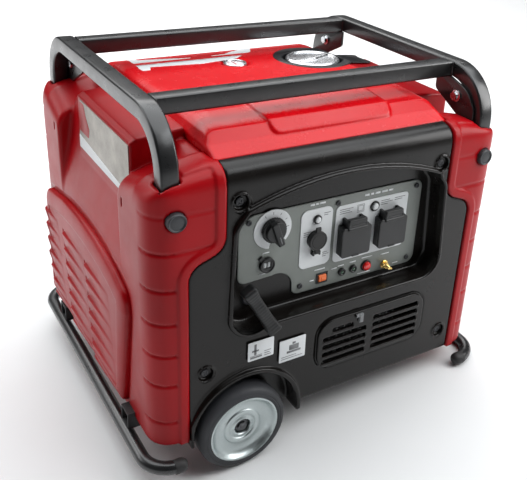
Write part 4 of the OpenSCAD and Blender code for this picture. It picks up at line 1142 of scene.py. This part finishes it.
lid_mesh = surface_net(lid, (-31, AC_FACE - 10, 287), (31, AC_FACE + 4, 360), 0.9)
for name, centre in (("left", AC_LEFT), ("right", AC_RIGHT)):
    piece("lid_cover_" + name, lid_mesh[0] + np.array([centre[0], 0, 0]), lid_mesh[1], "switch_black",
          "lid_" + name, "ac_lid_" + name)

# ---- recoil grip

ROPE = (-151, 251)


def grip(x, y, z):
    """A T grip: a blocky arm with flared ends, tilted, on a short neck."""
    dx, dz = x - ROPE[0], z - ROPE[1]
    u, w = spun(dx, dz, -30)
    v, w = y + 291, w - 9
    flare = 2.8 * (np.abs(w) / 49) ** 2
    arm = box3(u, v, w, 9.6 + flare, 9.4 + flare * 0.5, 49, 4.5)
    waist = 1.5 * np.exp(-((np.abs(w) - 24) / 12) ** 2) * step01(-v, 0, 8)
    ribs = 0.5 * np.cos(w * 1.15) * (1 - step01(np.abs(w), 40, 46)) * step01(np.abs(v), 4, 9)
    arm = arm + waist - ribs * 0.6
    neck = smax(np.hypot(dx, dz) - 8 - 0.3 * np.maximum(0, -v - 2), np.abs(y + 276) - 14, 1.5)
    return smin(arm, neck, 5)


carve("pull_grip", grip, (-196, -305, 190), (-106, -261, 312), 1.3, "grip_black", "starter_grip",
      "recoil_grip")
eyelet = turned_at([(3.6, -5), (9, -5), (11.5, -2.4), (12, 0), (3.6, 0)], ROPE, RECESS_FLOOR, 40)
piece("rope_eyelet", *eyelet, "plug_black", sharp=50)

# ---- top: fuel cap, dish and gauge


def fuel_cap(x, y, z):
    """A plated cap: fluted skirt, rolled rim, and a finger bar across a sunk top."""
    dx, dy = x - CAP_X, y - CAP_Y
    ring = np.hypot(dx, dy)
    flute = 0.6 * np.cos(np.arctan2(dy, dx) * 40) * (1 - step01(z, CAP_TOP - 10, CAP_TOP - 7))
    v = smax(ring - 52 + flute, np.abs(z - CAP_TOP + 13.5) - 9.5, 3)
    v = smin(v, smax(ring - 50, np.abs(z - CAP_TOP + 6) - 4.4, 4), 2)
    v = smax(v, -smax(ring - 44, CAP_TOP - 4.4 - z, 2), 3)
    along, across = spun(dx, dy, -18)
    bar = box3(along, across, z - CAP_TOP + 5, 45, 8.5 - 0.08 * np.abs(along), 4.6, 2.5)
    return smin(v, bar, 2.5)


carve("cap", fuel_cap, (95, 22, 496), (205, 132, 525), 1.2, "cap_chrome", "filler_cap", "fuel_cap")


def dish(x, y, z):
    """The sunk ring round the cap, its oval rim, and a spill channel that runs to the frame."""
    ring = np.hypot(x - CAP_X, y - CAP_Y)
    well = smax(ring - 60, np.abs(z - 504) - 13.5, 2)
    oval = (np.hypot((x - 152) / 73, (y - 82) / 80) - 1) * 73
    channel = rect2(x - 214, y - 84, 62, 31, 8)
    top = 519 - 0.0286 * (y - CAP_Y) - 8.2 * step01(x, 203, 213) - 0.09 * np.maximum(0, x - 213)
    groove = 1.3 * (1 - step01(np.abs(y - 84), 17, 22)) * step01(x, 212, 222)
    rim = smax(smin(oval, channel, 12), np.abs(z - top + 1.6 + groove / 2) - 1.6 + groove / 2, 1.2)
    v = smin(well, rim, 1.5)
    v = smax(v, -smax(ring - 57.5, 493.5 - z, 2), 2)
    return smax(v, 30.5 - ring, 1)


carve("dish", dish, (76, -1, 488), (279, 165, 523), 1.6, "dish_black", nodes="fuel_dish")


def gauge(x, y, z):
    ring = np.hypot(x, y - GAUGE_Y)
    v = smax(ring - 22, np.abs(z - GAUGE_TOP + 7) - 6, 1)
    v = smin(v, np.hypot(ring - 19.4, z - GAUGE_TOP + 1.6) - 2.4, 1)
    return smax(v, -smax(ring - 17, GAUGE_TOP - 3.2 - z, 0.5), 0.8)


carve("gauge_bezel", gauge, (-24, 83, 500), (24, 131, 519), 0.9, "cap_chrome", nodes="fuel_gauge")
DIAL = GAUGE_TOP - 2.4
dial = lathe([(0, DIAL), (16.4, DIAL), (16.4, DIAL - 1), (0, DIAL - 1)], (0, GAUGE_Y, 0), 2, 40)
piece("gauge_dial", *dial, "insert_white", sharp=30)
needle = [prism([(-0.9, 101), (0.9, 101), (0.4, 119), (-0.4, 119)], 2, DIAL, DIAL + 0.8)]
for a in (-50, -25, 0, 25, 50):
    t = math.radians(a)
    c, d = math.sin(t), math.cos(t)
    tick = [(c * r - d * half, GAUGE_Y + d * r + c * half)
            for r, half in ((11, 0.5), (11, -0.5), (15, -0.5), (15, 0.5))]
    needle.append(prism(tick, 2, DIAL, DIAL + 0.3))
piece("gauge_needle", *joined(*needle), "button_red")

# ---- nameplates, stickers, top stripe and latch

NAME_X = 297
name_outline = [(-144, 404), (93, 404), (90, 430), (77, 491), (-144, 491)]
patch_outline = [(40, 436), (88, 436), (77, 488), (58, 488), (50, 470), (34, 452)]
strip_outline = [(-143, 405), (92, 405), (90, 428), (-143, 412)]
# the CAD's labels are one node, so one piece stands for them: the right nameplate
name_layers = (("nameplate_", name_outline, 1.2, "label_silver"),
               ("nameplate_patch_", patch_outline, 1.5, "side_red"),
               ("nameplate_strip_", strip_outline, 1.5, "insert_white"))
for name, side in (("right", 1), ("left", -1)):
    for kind, outline, level, slot in name_layers:
        label = prism(fillet(outline, 2.5, 3), 0, NAME_X - 0.4, NAME_X + level, 0.3)
        stands_for = "labels" if kind + name == "nameplate_right" else ()
        piece(kind + name, *mirror(label, x=side), slot, nodes=stands_for, sharp=40)
STICKER = FRONT - 0.6
stickers = [prism(flat(*sheet, 2, 4), 1, STICKER, FRONT + 0.2, 0.2)
            for sheet in ((-167, 156, -121, 191), (-110, 133, -61, 175))]
piece("stickers", *joined(*stickers), "insert_white", sharp=40)
drawing = [prism(flat(*block, 0.3, 2), 1, STICKER - 0.15, STICKER + 0.1) for block in (
    (-163, 160, -142, 163), (-163, 164, -142, 165), (-156, 166, -152, 186), (-160, 172, -148, 175),
    (-138, 160, -126, 161.2), (-138, 164, -128, 165.2), (-138, 168, -126, 169.2), (-106, 138, -66, 139),
    (-106, 142, -78, 143), (-96, 148, -70, 152), (-92, 153, -74, 163), (-86, 164, -80, 168))]
piece("sticker_drawings", *joined(*drawing), "print_grey")
stripe = fillet([(-178, 108), (-162, 106), (-156, 130), (-60, 118), (14, 130), (64, 166), (96, 228),
                 (82, 228), (46, 192), (8, 168), (-50, 164), (-156, 182), (-156, 206), (-172, 208)], 5, 4)


def top_stripe(x, y, z):
    v = top_outer(x, y, z)
    return smax(np.abs(v) - 0.6, poly2(x, y, stripe), 0.4)


carve("top_stripe", top_stripe, (-184, 98, 500), (102, 234, 528), 1.5, "insert_white")


def latch(x, y, z):
    v = box3(x - 47, y - FRONT + 2.6, z - 174, 4.2, 3, 8.5, 1.6)
    return smin(v, box3(x - 43, y - FRONT + 2.6, z - 180, 7.5, 2.4, 3, 1.4), 2)


carve("grille_latch", latch, (36, -283, 163), (54, -271, 185), 0.7, "print_grey")

# ---- carried nodes

slot_of_node = {entry["node"]: entry["material_slot"] for entry in frame["record"]["subparts"]}
for node_name, obj in frame["nodes"].items():
    for material_slot in obj.material_slots:
        material_slot.material = finishes[slot_of_node[node_name]]

# ---- floor

floor_nodes = Nodes("studio_floor")
floor_tint = floor_nodes.ramp(floor_nodes.noise(3, 3), [(0.3, (0.8, 0.8, 0.8)), (0.7, (0.83, 0.83, 0.83))])
floor_nodes.finish(floor_tint, floor_nodes.remap(floor_nodes.noise(30, 3), 0.7, 0.8))
floor_mesh = bpy.data.meshes.new("floor")
# metres from the middle to each side
REACH = 30.0
floor_mesh.from_pydata([(-REACH, -REACH, 0), (REACH, -REACH, 0), (REACH, REACH, 0), (-REACH, REACH, 0)], [],
                       [(0, 1, 2, 3)])
floor_mesh.materials.append(floor_nodes.material)
floor = bpy.data.objects.new("floor", floor_mesh)
scene.collection.objects.link(floor)
